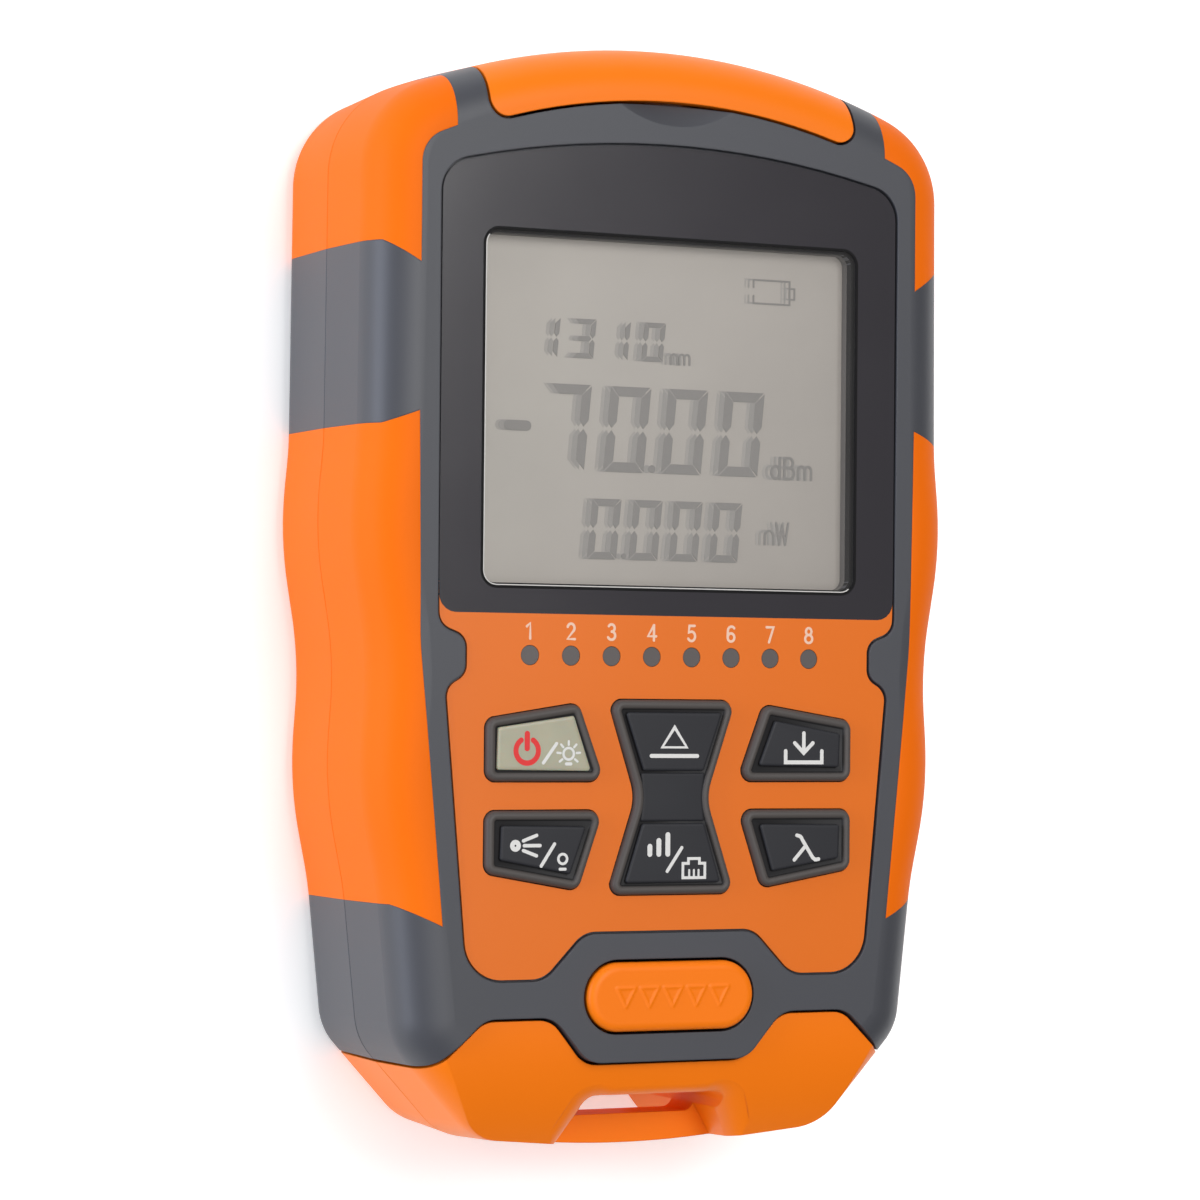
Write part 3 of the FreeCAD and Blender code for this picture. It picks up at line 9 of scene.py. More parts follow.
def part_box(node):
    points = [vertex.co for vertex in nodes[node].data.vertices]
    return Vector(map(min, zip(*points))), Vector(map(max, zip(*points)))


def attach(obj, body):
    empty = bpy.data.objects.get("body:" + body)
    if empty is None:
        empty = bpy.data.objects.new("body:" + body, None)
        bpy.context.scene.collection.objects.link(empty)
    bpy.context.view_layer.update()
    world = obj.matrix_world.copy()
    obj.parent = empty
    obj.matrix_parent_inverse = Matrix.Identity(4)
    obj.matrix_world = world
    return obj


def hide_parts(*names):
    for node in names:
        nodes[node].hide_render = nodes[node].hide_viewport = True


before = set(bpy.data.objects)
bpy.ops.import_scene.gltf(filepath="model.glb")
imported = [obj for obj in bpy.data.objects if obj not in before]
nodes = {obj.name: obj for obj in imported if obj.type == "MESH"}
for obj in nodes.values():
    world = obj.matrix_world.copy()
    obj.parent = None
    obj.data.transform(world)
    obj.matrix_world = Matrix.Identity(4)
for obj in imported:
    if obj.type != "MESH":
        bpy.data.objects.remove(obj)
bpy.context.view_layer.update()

# Optical power meter lying on its back: X across, Y towards the ports, Z out of the screen.
MM = 0.001


def top_of(name):
    """Height of a node's highest point, in millimetres."""
    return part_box(name)[1].z / MM


# Shader helpers: colours are sRGB hex, and lengths in materials are millimetres
def linear(code):
    """A hex colour in sRGB as linear light, with full alpha."""
    parts = np.array([int(code[i : i + 2], 16) for i in (1, 3, 5)]) / 255
    light = np.where(parts <= 0.04045, parts / 12.92, ((parts + 0.055) / 1.055) ** 2.4)
    return (*map(float, light), 1.0)


def wire(tree, node, inputs):
    """Give each named input of a node its value, or a link where that is another node's output."""
    for key, value in inputs.items():
        if isinstance(value, bpy.types.NodeSocket):
            tree.links.new(value, node.inputs[key])
        else:
            node.inputs[key].default_value = value


def add(tree, kind, inputs=None, **settings):
    """A new shader node with its settings and inputs."""
    made = tree.nodes.new(kind)
    for key, value in settings.items():
        setattr(made, key, value)
    wire(tree, made, inputs or {})
    return made


# Sockets of a Mix node that is set to colours
FACTOR, FIRST, SECOND, MIXED = 0, 6, 7, 2


def new_material(name):
    """A material, its tree, object coordinates, and the shader that leads to its output."""
    material = bpy.data.materials.new(name)
    material.use_nodes = True
    tree = material.node_tree
    tree.nodes.clear()
    place = add(tree, "ShaderNodeTexCoord").outputs["Object"]
    shader = add(tree, "ShaderNodeBsdfPrincipled")
    add(tree, "ShaderNodeOutputMaterial", {"Surface": shader.outputs["BSDF"]})
    return material, tree, place, shader


def grained(tree, place, width_mm, depth_mm, detail, strength=0.5):
    """Bump of a surface's grain: a noise as wide as the grain, raised by its depth."""
    grain = add(
        tree, "ShaderNodeTexNoise", {"Vector": place, "Scale": 1 / (width_mm * MM), "Detail": detail}
    )
    return add(
        tree,
        "ShaderNodeBump",
        {"Height": grain.outputs["Fac"], "Distance": depth_mm * MM, "Strength": strength},
    )


MOTTLE_MM = 18
GLOSS_SWING = 0.03


def moulded(name, colour, roughness, grain_mm, depth_mm, shade=0.05, edge_mm=0.0, **sockets):
    """Moulded polymer: an even pigment with slow, faint mottling, and the grain that its mould was given.

    Two noises on object coordinates make it: a wide one moves the colour and the gloss a little, and one
    as wide as the mould's grain lifts the surface. An edge width rounds the look of sharp edges, as the
    mould does, so that they catch a thin line of light.
    """
    material, tree, place, shader = new_material(name)
    slow = add(tree, "ShaderNodeTexNoise", {"Vector": place, "Scale": 1 / (MOTTLE_MM * MM), "Detail": 2.0})
    base = linear(colour)
    dark = tuple(part * (1 - shade) for part in base[:3]) + (1.0,)
    light = tuple(min(part * (1 + shade), 1.0) for part in base[:3]) + (1.0,)
    shades = {FACTOR: slow.outputs["Fac"], FIRST: dark, SECOND: light}
    pigment = add(tree, "ShaderNodeMix", shades, data_type="RGBA").outputs[MIXED]
    gloss = add(
        tree,
        "ShaderNodeMapRange",
        {
            "Value": slow.outputs["Fac"],
            "To Min": roughness - GLOSS_SWING,
            "To Max": roughness + GLOSS_SWING,
        },
    )
    bump = grained(tree, place, grain_mm, depth_mm, 3.0)
    if edge_mm:
        edge = add(tree, "ShaderNodeBevel", {"Radius": edge_mm * MM}, samples=4)
        tree.links.new(edge.outputs["Normal"], bump.inputs["Normal"])
    wire(
        tree,
        shader,
        {
            "Base Color": pigment,
            "Roughness": gloss.outputs["Result"],
            "Normal": bump.outputs["Normal"],
            **sockets,
        },
    )
    return material


def plated(name, colour, roughness):
    """Plated or rolled metal: streaks 0.25 mm wide, twelve times as long, move its gloss along Y."""
    material, tree, place, shader = new_material(name)
    stretch = add(tree, "ShaderNodeMapping", {"Vector": place, "Scale": (1.0, 0.08, 1.0)})
    streak = add(
        tree,
        "ShaderNodeTexNoise",
        {"Vector": stretch.outputs["Vector"], "Scale": 1 / (0.25 * MM), "Detail": 2.0},
    )
    gloss = add(
        tree,
        "ShaderNodeMapRange",
        {"Value": streak.outputs["Fac"], "To Min": roughness - 0.06, "To Max": roughness + 0.06},
    )
    wire(
        tree, shader, {"Base Color": linear(colour), "Metallic": 1.0, "Roughness": gloss.outputs["Result"]}
    )
    return material


def clouded(name, first, second, cloud_mm, detail=2.0, **sockets):
    """Two close tints, mixed by a noise as wide as the material's clouds."""
    material, tree, place, shader = new_material(name)
    cloud = add(
        tree, "ShaderNodeTexNoise", {"Vector": place, "Scale": 1 / (cloud_mm * MM), "Detail": detail}
    )
    shades = {FACTOR: cloud.outputs["Fac"], FIRST: first, SECOND: second}
    tint = add(tree, "ShaderNodeMix", shades, data_type="RGBA").outputs[MIXED]
    wire(tree, shader, {"Base Color": tint, **sockets})
    return material


def printed(name, colour, roughness=0.4, **sockets):
    """Screen-printed ink: opaque, thinner here and there by the mesh it was pushed through. The display's
    painted shadows, the window's painted shade and its edge's painted highlight are made the same way.
    """
    base = linear(colour)
    thin = tuple(part * 0.92 for part in base[:3]) + (1.0,)
    return clouded(name, thin, base, 0.3, 1.0, Roughness=roughness, **sockets)


# Grey ABS from a spark-eroded mould: even, satin, cool in its highlights
grey_abs = moulded("grey_abs_spark_eroded", "#424348", 0.45, 0.4, 0.006, edge_mm=0.2)
# Orange thermoplastic rubber moulded over the grips: softer sheen, no sharp highlights
orange_tpe = moulded(
    "orange_tpe_overmould", "#EC6B03", 0.55, 0.35, 0.006, 0.03, 0.15, **{"Specular IOR Level": 0.12}
)
# Orange ABS of the cover, the remote and the button: the same pigment with a little more gloss
orange_abs = moulded(
    "orange_abs_satin", "#F67905", 0.42, 0.45, 0.004, 0.03, 0.2, **{"Specular IOR Level": 0.22}
)
# Polyester film with a satin hard coat, printed orange on its back
orange_film = moulded(
    "orange_polyester_film", "#E16E14", 0.33, 0.3, 0.002, 0.02, **{"Specular IOR Level": 0.4}
)
# Acrylic lens back-printed near-black: smooth with soft reflections
back_print = {"Coat Weight": 0.5, "Coat Roughness": 0.08}
lens_print = moulded("acrylic_lens_back_printed", "#2E2B2F", 0.2, 1.2, 0.001, 0.04, **back_print)
# Natural silicone of the key web
web_silicone = moulded("silicone_web_natural", "#5B5B5D", 0.55, 0.3, 0.004)
# Black glass-filled nylon of the sockets
jack_nylon = moulded("black_nylon_moulded", "#1B1B1D", 0.35, 0.4, 0.004)
# Milky polycarbonate of the backlight
light_guide = moulded("milky_polycarbonate_guide", "#DEDCD2", 0.35, 0.8, 0.002)
# Smoked polycarbonate of the indicator pegs
smoked_guide = moulded("smoked_polycarbonate_pegs", "#5E5856", 0.25, 0.8, 0.002, **{"Coat Weight": 0.3})
# Cast resin of the small lamps
lamp_resin = moulded("cast_resin_lamp", "#E9DFC4", 0.2, 0.6, 0.002)
# Black thermoplastic of the switch cases
switch_case = moulded("black_switch_case", "#242426", 0.45, 0.3, 0.004)
# Nickel plate on the ports and contacts: bright, with faint turning marks
nickel = plated("nickel_plate_turned", "#C8C4BA", 0.22)
# Spring steel strip, smooth from rolling, and zinc-plated screws, a little duller
steel = plated("spring_steel_rolled", "#A9ABAE", 0.3)
zinc = plated("zinc_plated_screw", "#8E9094", 0.36)
# Gold-flashed contact wire: warm and bright
gold = plated("gold_flashed_wire", "#D9B25A", 0.25)
# Inks, opaque and a little uneven; the matt black is painted shade for the window's rim, so that the rim
# stays dark
white_ink = printed("white_key_ink", "#DEDCD8")
cream_ink = printed("cream_panel_ink", "#EDC6AC")
red_ink = printed("red_key_ink", "#DE1F1F")
painted_window_shade = printed("painted_window_shade_black", "#121112", 0.6, **{"Specular IOR Level": 0.15})
# Liquid crystal: the lit bars, and their shadow on the reflector behind, fainter further out
segment_ink = printed("liquid_crystal_segment", "#918D88", 0.3)
near_shadow = printed("segment_shadow_near", "#A29E98", 0.3)
far_shadow = printed("segment_shadow_far", "#AEA9A2", 0.3)
# A bright line painted along the window's polished edge as a highlight, and the dull closed-cell foam round
# the display glass
painted_edge_highlight = printed("painted_acrylic_edge_highlight", "#DAD7D2", 0.15)
foam = moulded("grey_foam_gasket", "#6E6963", 0.9, 0.5, 0.01)


def silicone_keys():
    """Dark silicone keys: a warm rim, lighter partly in its own colour and partly as painted highlight, a
    groove darkened as painted shade, and a cooler pad.

    The key's own attribute, tone, picks the grey: 0 on the rim, 1 in the groove and 2 on the pad.
    """
    material, tree, place, shader = new_material("silicone_keys_painted_shade")
    tone = add(tree, "ShaderNodeAttribute", attribute_name="tone").outputs["Fac"]
    groove_shade = add(tree, "ShaderNodeMapRange", {"Value": tone, "From Min": 0.2, "From Max": 0.9})
    raised = add(tree, "ShaderNodeMapRange", {"Value": tone, "From Min": 1.1, "From Max": 1.9})
    # Painted shade darkens the groove; the rim's lighter warm grey is partly its own colour and partly
    # painted highlight
    shades = {FACTOR: groove_shade.outputs["Result"], FIRST: linear("#4E4946"), SECOND: linear("#212021")}
    below = add(tree, "ShaderNodeMix", shades, data_type="RGBA").outputs[MIXED]
    shades = {FACTOR: raised.outputs["Result"], FIRST: below, SECOND: linear("#242428")}
    dye_and_painted_shade = add(tree, "ShaderNodeMix", shades, data_type="RGBA").outputs[MIXED]
    bump = grained(tree, place, 0.3, 0.004, 2.0)
    wire(
        tree,
        shader,
        {
            "Base Color": dye_and_painted_shade,
            "Roughness": 0.55,
            "Specular IOR Level": 0.35,
            "Normal": bump.outputs["Normal"],
        },
    )
    return material


def clear_acrylic():
    """Clear polished acrylic: nearly all light passes, and only its gloss is seen."""
    material, tree, place, shader = new_material("clear_acrylic_window")
    haze = add(tree, "ShaderNodeTexNoise", {"Vector": place, "Scale": 1 / (9 * MM), "Detail": 2.0})
    veil = add(tree, "ShaderNodeMapRange", {"Value": haze.outputs["Fac"], "To Min": 0.06, "To Max": 0.1})
    wire(
        tree,
        shader,
        {"Base Color": linear("#8A8886"), "Roughness": 0.06, "IOR": 1.49, "Alpha": veil.outputs["Result"]},
    )
    return material


def display_polariser():
    """Warm grey of a reflective display: a matt polariser, darker towards the right and the bottom as
    painted shade, with a faint painted glow that lightens it all.
    """
    material, tree, place, shader = new_material("display_polariser_matt")
    slow = add(tree, "ShaderNodeTexNoise", {"Vector": place, "Scale": 1 / (26 * MM), "Detail": 1.0})
    across, along, _ = add(tree, "ShaderNodeSeparateXYZ", {"Vector": place}).outputs
    slant = add(tree, "ShaderNodeMath", {0: along, 1: -0.5, 2: across}, operation="MULTIPLY_ADD")
    # Painted shade: the grey darkens along a slant towards the right and the bottom
    painted_shade_ramp = add(
        tree,
        "ShaderNodeMapRange",
        {"Value": slant.outputs["Value"], "From Min": -28 * MM, "From Max": 20 * MM},
    )
    shades = {FACTOR: slow.outputs["Fac"], FIRST: linear("#B5B0A7"), SECOND: linear("#B9B1A8")}
    cloudy = add(tree, "ShaderNodeMix", shades, data_type="RGBA").outputs[MIXED]
    shades = {FACTOR: painted_shade_ramp.outputs["Result"], FIRST: cloudy, SECOND: linear("#A39C94")}
    tint = add(tree, "ShaderNodeMix", shades, data_type="RGBA").outputs[MIXED]
    bump = grained(tree, place, 0.25, 0.002, 1.0, 0.4)
    wire(
        tree,
        shader,
        {
            "Base Color": tint,
            "Roughness": 0.4,
            "Normal": bump.outputs["Normal"],
            # Painted glow that lightens the whole display
            "Emission Color": linear("#B2ACA3"),
            "Emission Strength": 0.1,
        },
    )
    return material


def solder_mask():
    """Green solder mask over copper: raised tracks on a 1.27 mm grid, lighter than the bare mask."""
    material, tree, place, shader = new_material("solder_mask_over_copper")
    tracks = add(
        tree,
        "ShaderNodeTexBrick",
        {
            "Vector": place,
            "Scale": 1 / (1.27 * MM),
            "Mortar Size": 0.12,
            "Brick Width": 4.0,
            "Row Height": 1.0,
        },
    )
    shades = {FACTOR: tracks.outputs["Fac"], FIRST: linear("#1C5A37"), SECOND: linear("#2C7A4B")}
    tint = add(tree, "ShaderNodeMix", shades, data_type="RGBA").outputs[MIXED]
    bump = add(
        tree, "ShaderNodeBump", {"Height": tracks.outputs["Fac"], "Distance": 0.035 * MM, "Strength": 0.6}
    )
    wire(tree, shader, {"Base Color": tint, "Roughness": 0.3, "Normal": bump.outputs["Normal"]})
    return material


def cell_jacket():
    """Shrink-wrapped cell: a dark sleeve, lighter past 15 mm from its middle, and bare steel ends."""
    material, tree, place, shader = new_material("shrink_sleeve_and_steel")
    along = add(tree, "ShaderNodeSeparateXYZ", {"Vector": place}).outputs["Y"]
    reach = add(tree, "ShaderNodeMath", {0: along}, operation="ABSOLUTE").outputs["Value"]
    bare = add(
        tree, "ShaderNodeMapRange", {"Value": reach, "From Min": 21.55 * MM, "From Max": 21.6 * MM}
    ).outputs["Result"]
    band = add(
        tree, "ShaderNodeMapRange", {"Value": reach, "From Min": 14.9 * MM, "From Max": 15.0 * MM}
    ).outputs["Result"]
    shades = {FACTOR: band, FIRST: linear("#2F3236"), SECOND: linear("#B9B6AE")}
    sleeve = add(tree, "ShaderNodeMix", shades, data_type="RGBA").outputs[MIXED]
    shades = {FACTOR: bare, FIRST: sleeve, SECOND: linear("#BFC0C0")}
    tint = add(tree, "ShaderNodeMix", shades, data_type="RGBA").outputs[MIXED]
    wire(tree, shader, {"Base Color": tint, "Metallic": bare, "Roughness": 0.28})
    return material


# Milky, slightly green silicone that the backlight shines through: soft, with a low gloss
glow_through = {"Roughness": 0.35, "Subsurface Weight": 0.3, "Subsurface Scale": 0.8 * MM}
insert_silicone = clouded(
    "luminous_silicone_insert", linear("#A09E8B"), linear("#B4AE93"), 4, **glow_through
)
# Water-clear epoxy of the torch lamp
clearness = {"Roughness": 0.05, "IOR": 1.52, "Transmission Weight": 0.8}
clear_epoxy = clouded("clear_epoxy_cast", linear("#E2E8EC"), linear("#F2F5F7"), 2, 1.0, **clearness)
keys_rubber = silicone_keys()
FINISHES = (
    (grey_abs, "front_shell rear_shell battery_door"),
    (lens_print, "screen_surround"),
    (clear_acrylic(), "lcd_window"),
    (orange_film, "key_panel"),
    (display_polariser(), "lcd_glass"),
    (light_guide, "lcd_backlight"),
    (smoked_guide, "indicator_comb"),
    (insert_silicone, "power_key_insert"),
    (web_silicone, "keypad_web"),
    (solder_mask(), "main_board remote_board"),
    (steel, "release_spring hinge_pin"),
    (orange_abs, "remote_front_shell remote_rear_shell top_cover release_button"),
    (jack_nylon, "remote_jack network_jack"),
    (nickel, "power_port laser_port upper_contacts lower_contacts"),
    (clear_epoxy, "torch_lamp"),
)
finish_of = {name: finish for finish, names in FINISHES for name in names.split()}
# Nodes of one family share a finish, found by a part of their name
FAMILIES = (
    ("grip_", orange_tpe),
    ("wire_lamp_", lamp_resin),
    ("battery_cell_", cell_jacket()),
    ("_switch", switch_case),
    ("_key", keys_rubber),
    ("_screws", zinc),
)
for name, node in nodes.items():
    finish = finish_of.get(name) or next(finish for part, finish in FAMILIES if part in name)
    for slot in node.material_slots:
        slot.material = finish


def stand(name, data):
    """A new object that shows the data, linked into the scene."""
    thing = bpy.data.objects.new(name, data)
    bpy.context.scene.collection.objects.link(thing)
    return thing


# Mesh helpers. Every surface is given in millimetres in the meter's own frame.
def build(name, parts, material, body, smooth=False, tones=None):
    """One object from (points, faces) parts laid end to end, with a tone for each point where given."""
    points = []
    faces = []
    count = 0
    for corners, sides in parts:
        corners = np.asarray(corners, float).reshape(-1, 3)
        points.append(corners)
        faces += [tuple(int(i) + count for i in side) for side in sides]
        count += len(corners)
    mesh = bpy.data.meshes.new(name)
    mesh.from_pydata((np.concatenate(points) * MM).tolist(), [], faces)
    mesh.update()
    if smooth:
        mesh.shade_smooth()
    if tones is not None:
        mesh.attributes.new("tone", "FLOAT", "POINT").data.foreach_set("value", np.asarray(tones, float))
    mesh.materials.append(material)
    piece = stand(name, mesh)
    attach(piece, body)
    return piece


def sheet_faces(rows, columns):
    """Quads of a grid of rows by columns, joined round along its columns."""
    row, column = np.meshgrid(np.arange(rows - 1), np.arange(columns), indexing="ij")
    after = (column + 1) % columns
    here, above = row * columns, (row + 1) * columns
    quads = np.stack([here + column, here + after, above + after, above + column], axis=-1)
    return quads.reshape(-1, 4).tolist()


def plate(outline, low, high):
    """Flat slab of a convex outline given anticlockwise: a bottom, a top and a wall of one quad a side."""
    outline = np.asarray(outline, float)
    count = len(outline)
    points = np.concatenate([np.c_[outline, np.full(count, level)] for level in (low, high)])
    faces = [list(range(count))[::-1], list(range(count, 2 * count))]
    faces += [[i, (i + 1) % count, count + (i + 1) % count, count + i] for i in range(count)]
    return points, faces


SMALLEST_RADIUS = 0.12


def rounded_outline(corners, distance, steps=7):
    """Points round a polygon of (x, y, corner radius), moved inwards by a distance.

    A corner moves along the sum of its two inward normals over one plus their cosine. Its radius loses
    the distance where the outline turns left and gains it where it turns right, and its arc starts the
    radius times the tangent of half the turn before the corner, so that it is tangent to both sides.
    """
    corners = np.asarray(corners, float)
    point = corners[:, :2]
    arrive = point - np.roll(point, 1, axis=0)
    arrive /= np.linalg.norm(arrive, axis=1)[:, None]
    leave = np.roll(arrive, -1, axis=0)
    inward = np.c_[-(arrive + leave)[:, 1], (arrive + leave)[:, 0]]
    cosine = (arrive * leave).sum(axis=1)
    turn = np.arctan2(arrive[:, 0] * leave[:, 1] - arrive[:, 1] * leave[:, 0], cosine)
    side = np.sign(turn)
    point = point + inward * (distance / (1 + cosine))[:, None]
    radius = np.maximum(corners[:, 2] - distance * side, SMALLEST_RADIUS)
    start = point - arrive * (radius * np.abs(np.tan(turn / 2)))[:, None]
    centre = start + np.c_[-arrive[:, 1], arrive[:, 0]] * (side * radius)[:, None]
    spoke = start - centre
    swing = turn[:, None] * np.linspace(0, 1, steps)
    x = centre[:, :1] + spoke[:, :1] * np.cos(swing) - spoke[:, 1:] * np.sin(swing)
    y = centre[:, 1:] + spoke[:, :1] * np.sin(swing) + spoke[:, 1:] * np.cos(swing)
    return np.stack([x, y], axis=-1).reshape(-1, 2)


def cap(corners, profile):
    """Cap over a rounded outline: a ring for each (distance inwards, height) of the profile.

    Flat faces close the first ring below and the last above.
    """
    rings = [rounded_outline(corners, distance) for distance, _ in profile]
    count = len(rings[0])
    points = [np.c_[flat, np.full(count, height)] for flat, (_, height) in zip(rings, profile)]
    faces = sheet_faces(len(rings), count)
    last = count * (len(rings) - 1)
    faces += [list(range(count))[::-1], list(range(last, last + count))]
    return np.concatenate(points), faces


def stroke(path, width, low, high, closed=False):
    """Line of even width along a path, as a slab.

    At each point the two edges lie half a width to either side, along the mean of the neighbouring
    normals and stretched by one over its length, so that the width holds round corners. An open line
    gets a half-round end from five more points whose half width falls as the root of one less the
    distance squared.
    """
    path = np.asarray(path, float)
    half = np.full(len(path), width / 2)
    if not closed:
        turn = np.radians([90, 70, 50, 30, 12])
        first = path[0] - path[1]
        last = path[-1] - path[-2]
        first /= np.linalg.norm(first)
        last /= np.linalg.norm(last)
        before = path[0] + np.outer(np.sin(turn), first) * width / 2
        after = path[-1] + np.outer(np.sin(turn[::-1]), last) * width / 2
        ends = np.maximum(np.cos(turn), 0.02) * width / 2
        path = np.concatenate([before, path, after])
        half = np.concatenate([ends, half, ends[::-1]])
    ahead = np.roll(path, -1, axis=0) - path
    behind = path - np.roll(path, 1, axis=0)
    if not closed:
        ahead[-1] = behind[-1]
        behind[0] = ahead[0]
    ahead /= np.linalg.norm(ahead, axis=1)[:, None]
    behind /= np.linalg.norm(behind, axis=1)[:, None]
    normal = np.c_[-(ahead + behind)[:, 1], (ahead + behind)[:, 0]]
    length = np.maximum(np.linalg.norm(normal, axis=1), 1.25)
    offset = normal / length[:, None] ** 2 * 2 * half[:, None]
    count = len(path)
    left = path + offset
    right = path - offset
    corners = ((left, low), (right, low), (right, high), (left, high))
    points = np.stack([np.c_[side, np.full(count, level)] for side, level in corners], axis=1)
    faces = (np.array(sheet_faces(count + closed, 4)) % (4 * count)).tolist()
    if not closed:
        end = 4 * (count - 1)
        faces += [[0, 1, 2, 3], [end + 3, end + 2, end + 1, end]]
    return points.reshape(-1, 3), faces


def arc(x, y, across, up, start, end, count=14):
    """Points of an ellipse's arc from one angle to another, in degrees."""
    turn = np.radians(np.linspace(start, end, count))
    return np.c_[x + across * np.cos(turn), y + up * np.sin(turn)]


def ring(x, y, radius, count=28):
    return arc(x, y, radius, radius, 0, 360 * (1 - 1 / count), count)


def placed(path, x, y, scale):
    """A path drawn one unit high, enlarged and moved to a corner."""
    return np.asarray(path, float) * scale + (x, y)


# Camera: fitted to the photograph, to the left of the meter and almost square to it in height
camera_data = bpy.data.cameras.new("photo_camera")
camera = stand("photo_camera", camera_data)
half_picture, focal_length = 600, 4000  # both in the photograph's pixels
camera_data.angle = 2 * math.atan(half_picture / focal_length)
roll, tilt, swing = math.radians(-0.52), math.radians(-1.43), math.radians(26.39)
seen = Matrix.Rotation(roll, 3, "Z") @ Matrix.Rotation(tilt, 3, "X") @ Matrix.Rotation(swing, 3, "Y")
viewpoint = Vector((-193.4, -10.95, 399.2)) * MM
camera.matrix_world = Matrix.Translation(viewpoint) @ seen.transposed().to_4x4()
bpy.context.scene.camera = camera
bpy.context.scene.view_settings.view_transform = "Standard"

# Legends. Digits and letters are lines in a box one unit high.
DIGITS = {
    "1": [[(0.06, 0.78), (0.3, 1.0), (0.3, 0.0)]],
    "2": [np.concatenate([arc(0.28, 0.72, 0.25, 0.28, 165, -35), [(0.02, 0.0), (0.56, 0.0)]])],
    "3": [arc(0.27, 0.76, 0.23, 0.24, 150, -85), arc(0.27, 0.27, 0.27, 0.27, 85, -155)],
    "4": [[(0.44, 0.0), (0.44, 1.0)], [(0.44, 1.0), (0.0, 0.27), (0.6, 0.27)]],
    "5": [
        np.concatenate([[(0.5, 1.0), (0.12, 1.0), (0.06, 0.55)], arc(0.27, 0.31, 0.27, 0.31, 115, -150)])
    ],
    "6": [
        arc(0.28, 0.28, 0.25, 0.27, 0, 342, 20),
        np.concatenate([arc(0.31, 0.7, 0.27, 0.3, 40, 165), [(0.03, 0.45), (0.03, 0.3)]]),
    ],
    "7": [[(0.02, 1.0), (0.54, 1.0), (0.2, 0.0)]],
    "8": [arc(0.28, 0.76, 0.21, 0.23, 0, 342, 20), arc(0.28, 0.27, 0.27, 0.27, 0, 342, 20)],
}
# Distance between two pegs, and the size, foot and line width of the numbers over them
PEG_PITCH = 4.706
NUMBER_HEIGHT, NUMBER_HALF, NUMBER_FOOT, NUMBER_LINE = 1.6, 0.48, -4.68, 0.27
# Each stroke of a sign lies this much above the one before it, so that none cuts another's face
CROSSING = 0.003
INK_HEIGHT = 0.02
panel_top = top_of("key_panel")
numbers = []
for place in range(8):
    for rank, path in enumerate(DIGITS[str(place + 1)]):
        flat = placed(path, (place - 3.5) * PEG_PITCH - NUMBER_HALF, NUMBER_FOOT, NUMBER_HEIGHT)
        level = panel_top + INK_HEIGHT + CROSSING * rank
        # The 8 is two rings and the 6 starts with one
        loop = place == 7 or (place == 5 and rank == 0)
        numbers.append(stroke(flat, NUMBER_LINE, panel_top - INK_HEIGHT, level, closed=loop))
build("panel_numbers", numbers, cream_ink, "housing")


# Rubber keys: outlines of the right-hand ones and the rocker, as (x, y, corner radius)
UPPER_KEY = [(7.85, -19.43, 1.2), (21.5, -19.43, 1.2), (21.5, -12.95, 1.2), (10.95, -11.3, 1.2)]
LOWER_KEY = [(10.85, -30.72, 1.2), (21.5, -28.85, 1.2), (21.5, -22.42, 1.2), (8.0, -22.42, 1.2)]
ROCKER = [
    (7.5, -31.25, 1.2),
    (4.1, -21.1, 5.0),
    (7.5, -10.9, 1.2),
    (-7.5, -10.9, 1.2),
    (-4.1, -21.1, 5.0),
    (-7.5, -31.25, 1.2),
]
key_top = top_of("power_key")
# Distance inwards, height over the rim and tone, the tone giving the groove's painted shade: a rounded rim,
# then the floor of the groove
RIM = [
    (0.0, -2.2, 0.0),
    (0.0, -0.62, 0.0),
    (0.03, -0.42, 0.0),
    (0.12, -0.24, 0.0),
    (0.26, -0.09, 0.0),
    (0.44, -0.01, 0.0),
    (0.6, -0.01, 0.0),
    (0.78, -0.08, 0.1),
    (0.92, -0.2, 0.5),
    (1.0, -0.34, 1.0),
    (1.08, -0.4, 1.0),
]
# The pad's edge, from under the groove's floor to its flat top
PAD_EDGE = [(0.0, -0.55, 1.0), (0.0, -0.18, 1.6), (0.04, -0.07, 2.0), (0.14, -0.01, 2.0), (0.3, 0.0, 2.0)]


def flipped(corners):
    """The same outline on the other side of the middle line, still anticlockwise."""
    return [(-x, y, radius) for x, y, radius in reversed(corners)]


def moulded_cap(corners, profile, lift=0.0):
    """A cap whose profile also gives the tone of each of its rings."""
    points, faces = cap(corners, [(inward, key_top + height + lift) for inward, height, _ in profile])
    around = len(points) // len(profile)
    return (points, faces), np.repeat([tone for _, _, tone in profile], around)


def rubber_key(name, body, corners, pads):
    """One key: the rim round its outline, and pads, each a list of corners and its lift over the rim."""
    caps = [moulded_cap(corners, RIM)]
    caps += [moulded_cap(pad, PAD_EDGE, lift) for pad, lift in pads]
    piece = build(
        name + "_cap",
        [part for part, _ in caps],
        keys_rubber,
        body,
        tones=np.concatenate([tones for _, tones in caps]),
    )
    piece.data.shade_smooth()
    piece.data.set_sharp_from_angle(angle=math.radians(50))
    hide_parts(name)


PAD_RADIUS = 0.3


def pad_inside(corners, distance=1.5):
    """Corners of the pad that lies a distance inside a key's outline."""
    moved = rounded_outline([(x, y, 0.0) for x, y, _ in corners], distance, steps=1)
    return [(x, y, PAD_RADIUS) for x, y in moved]


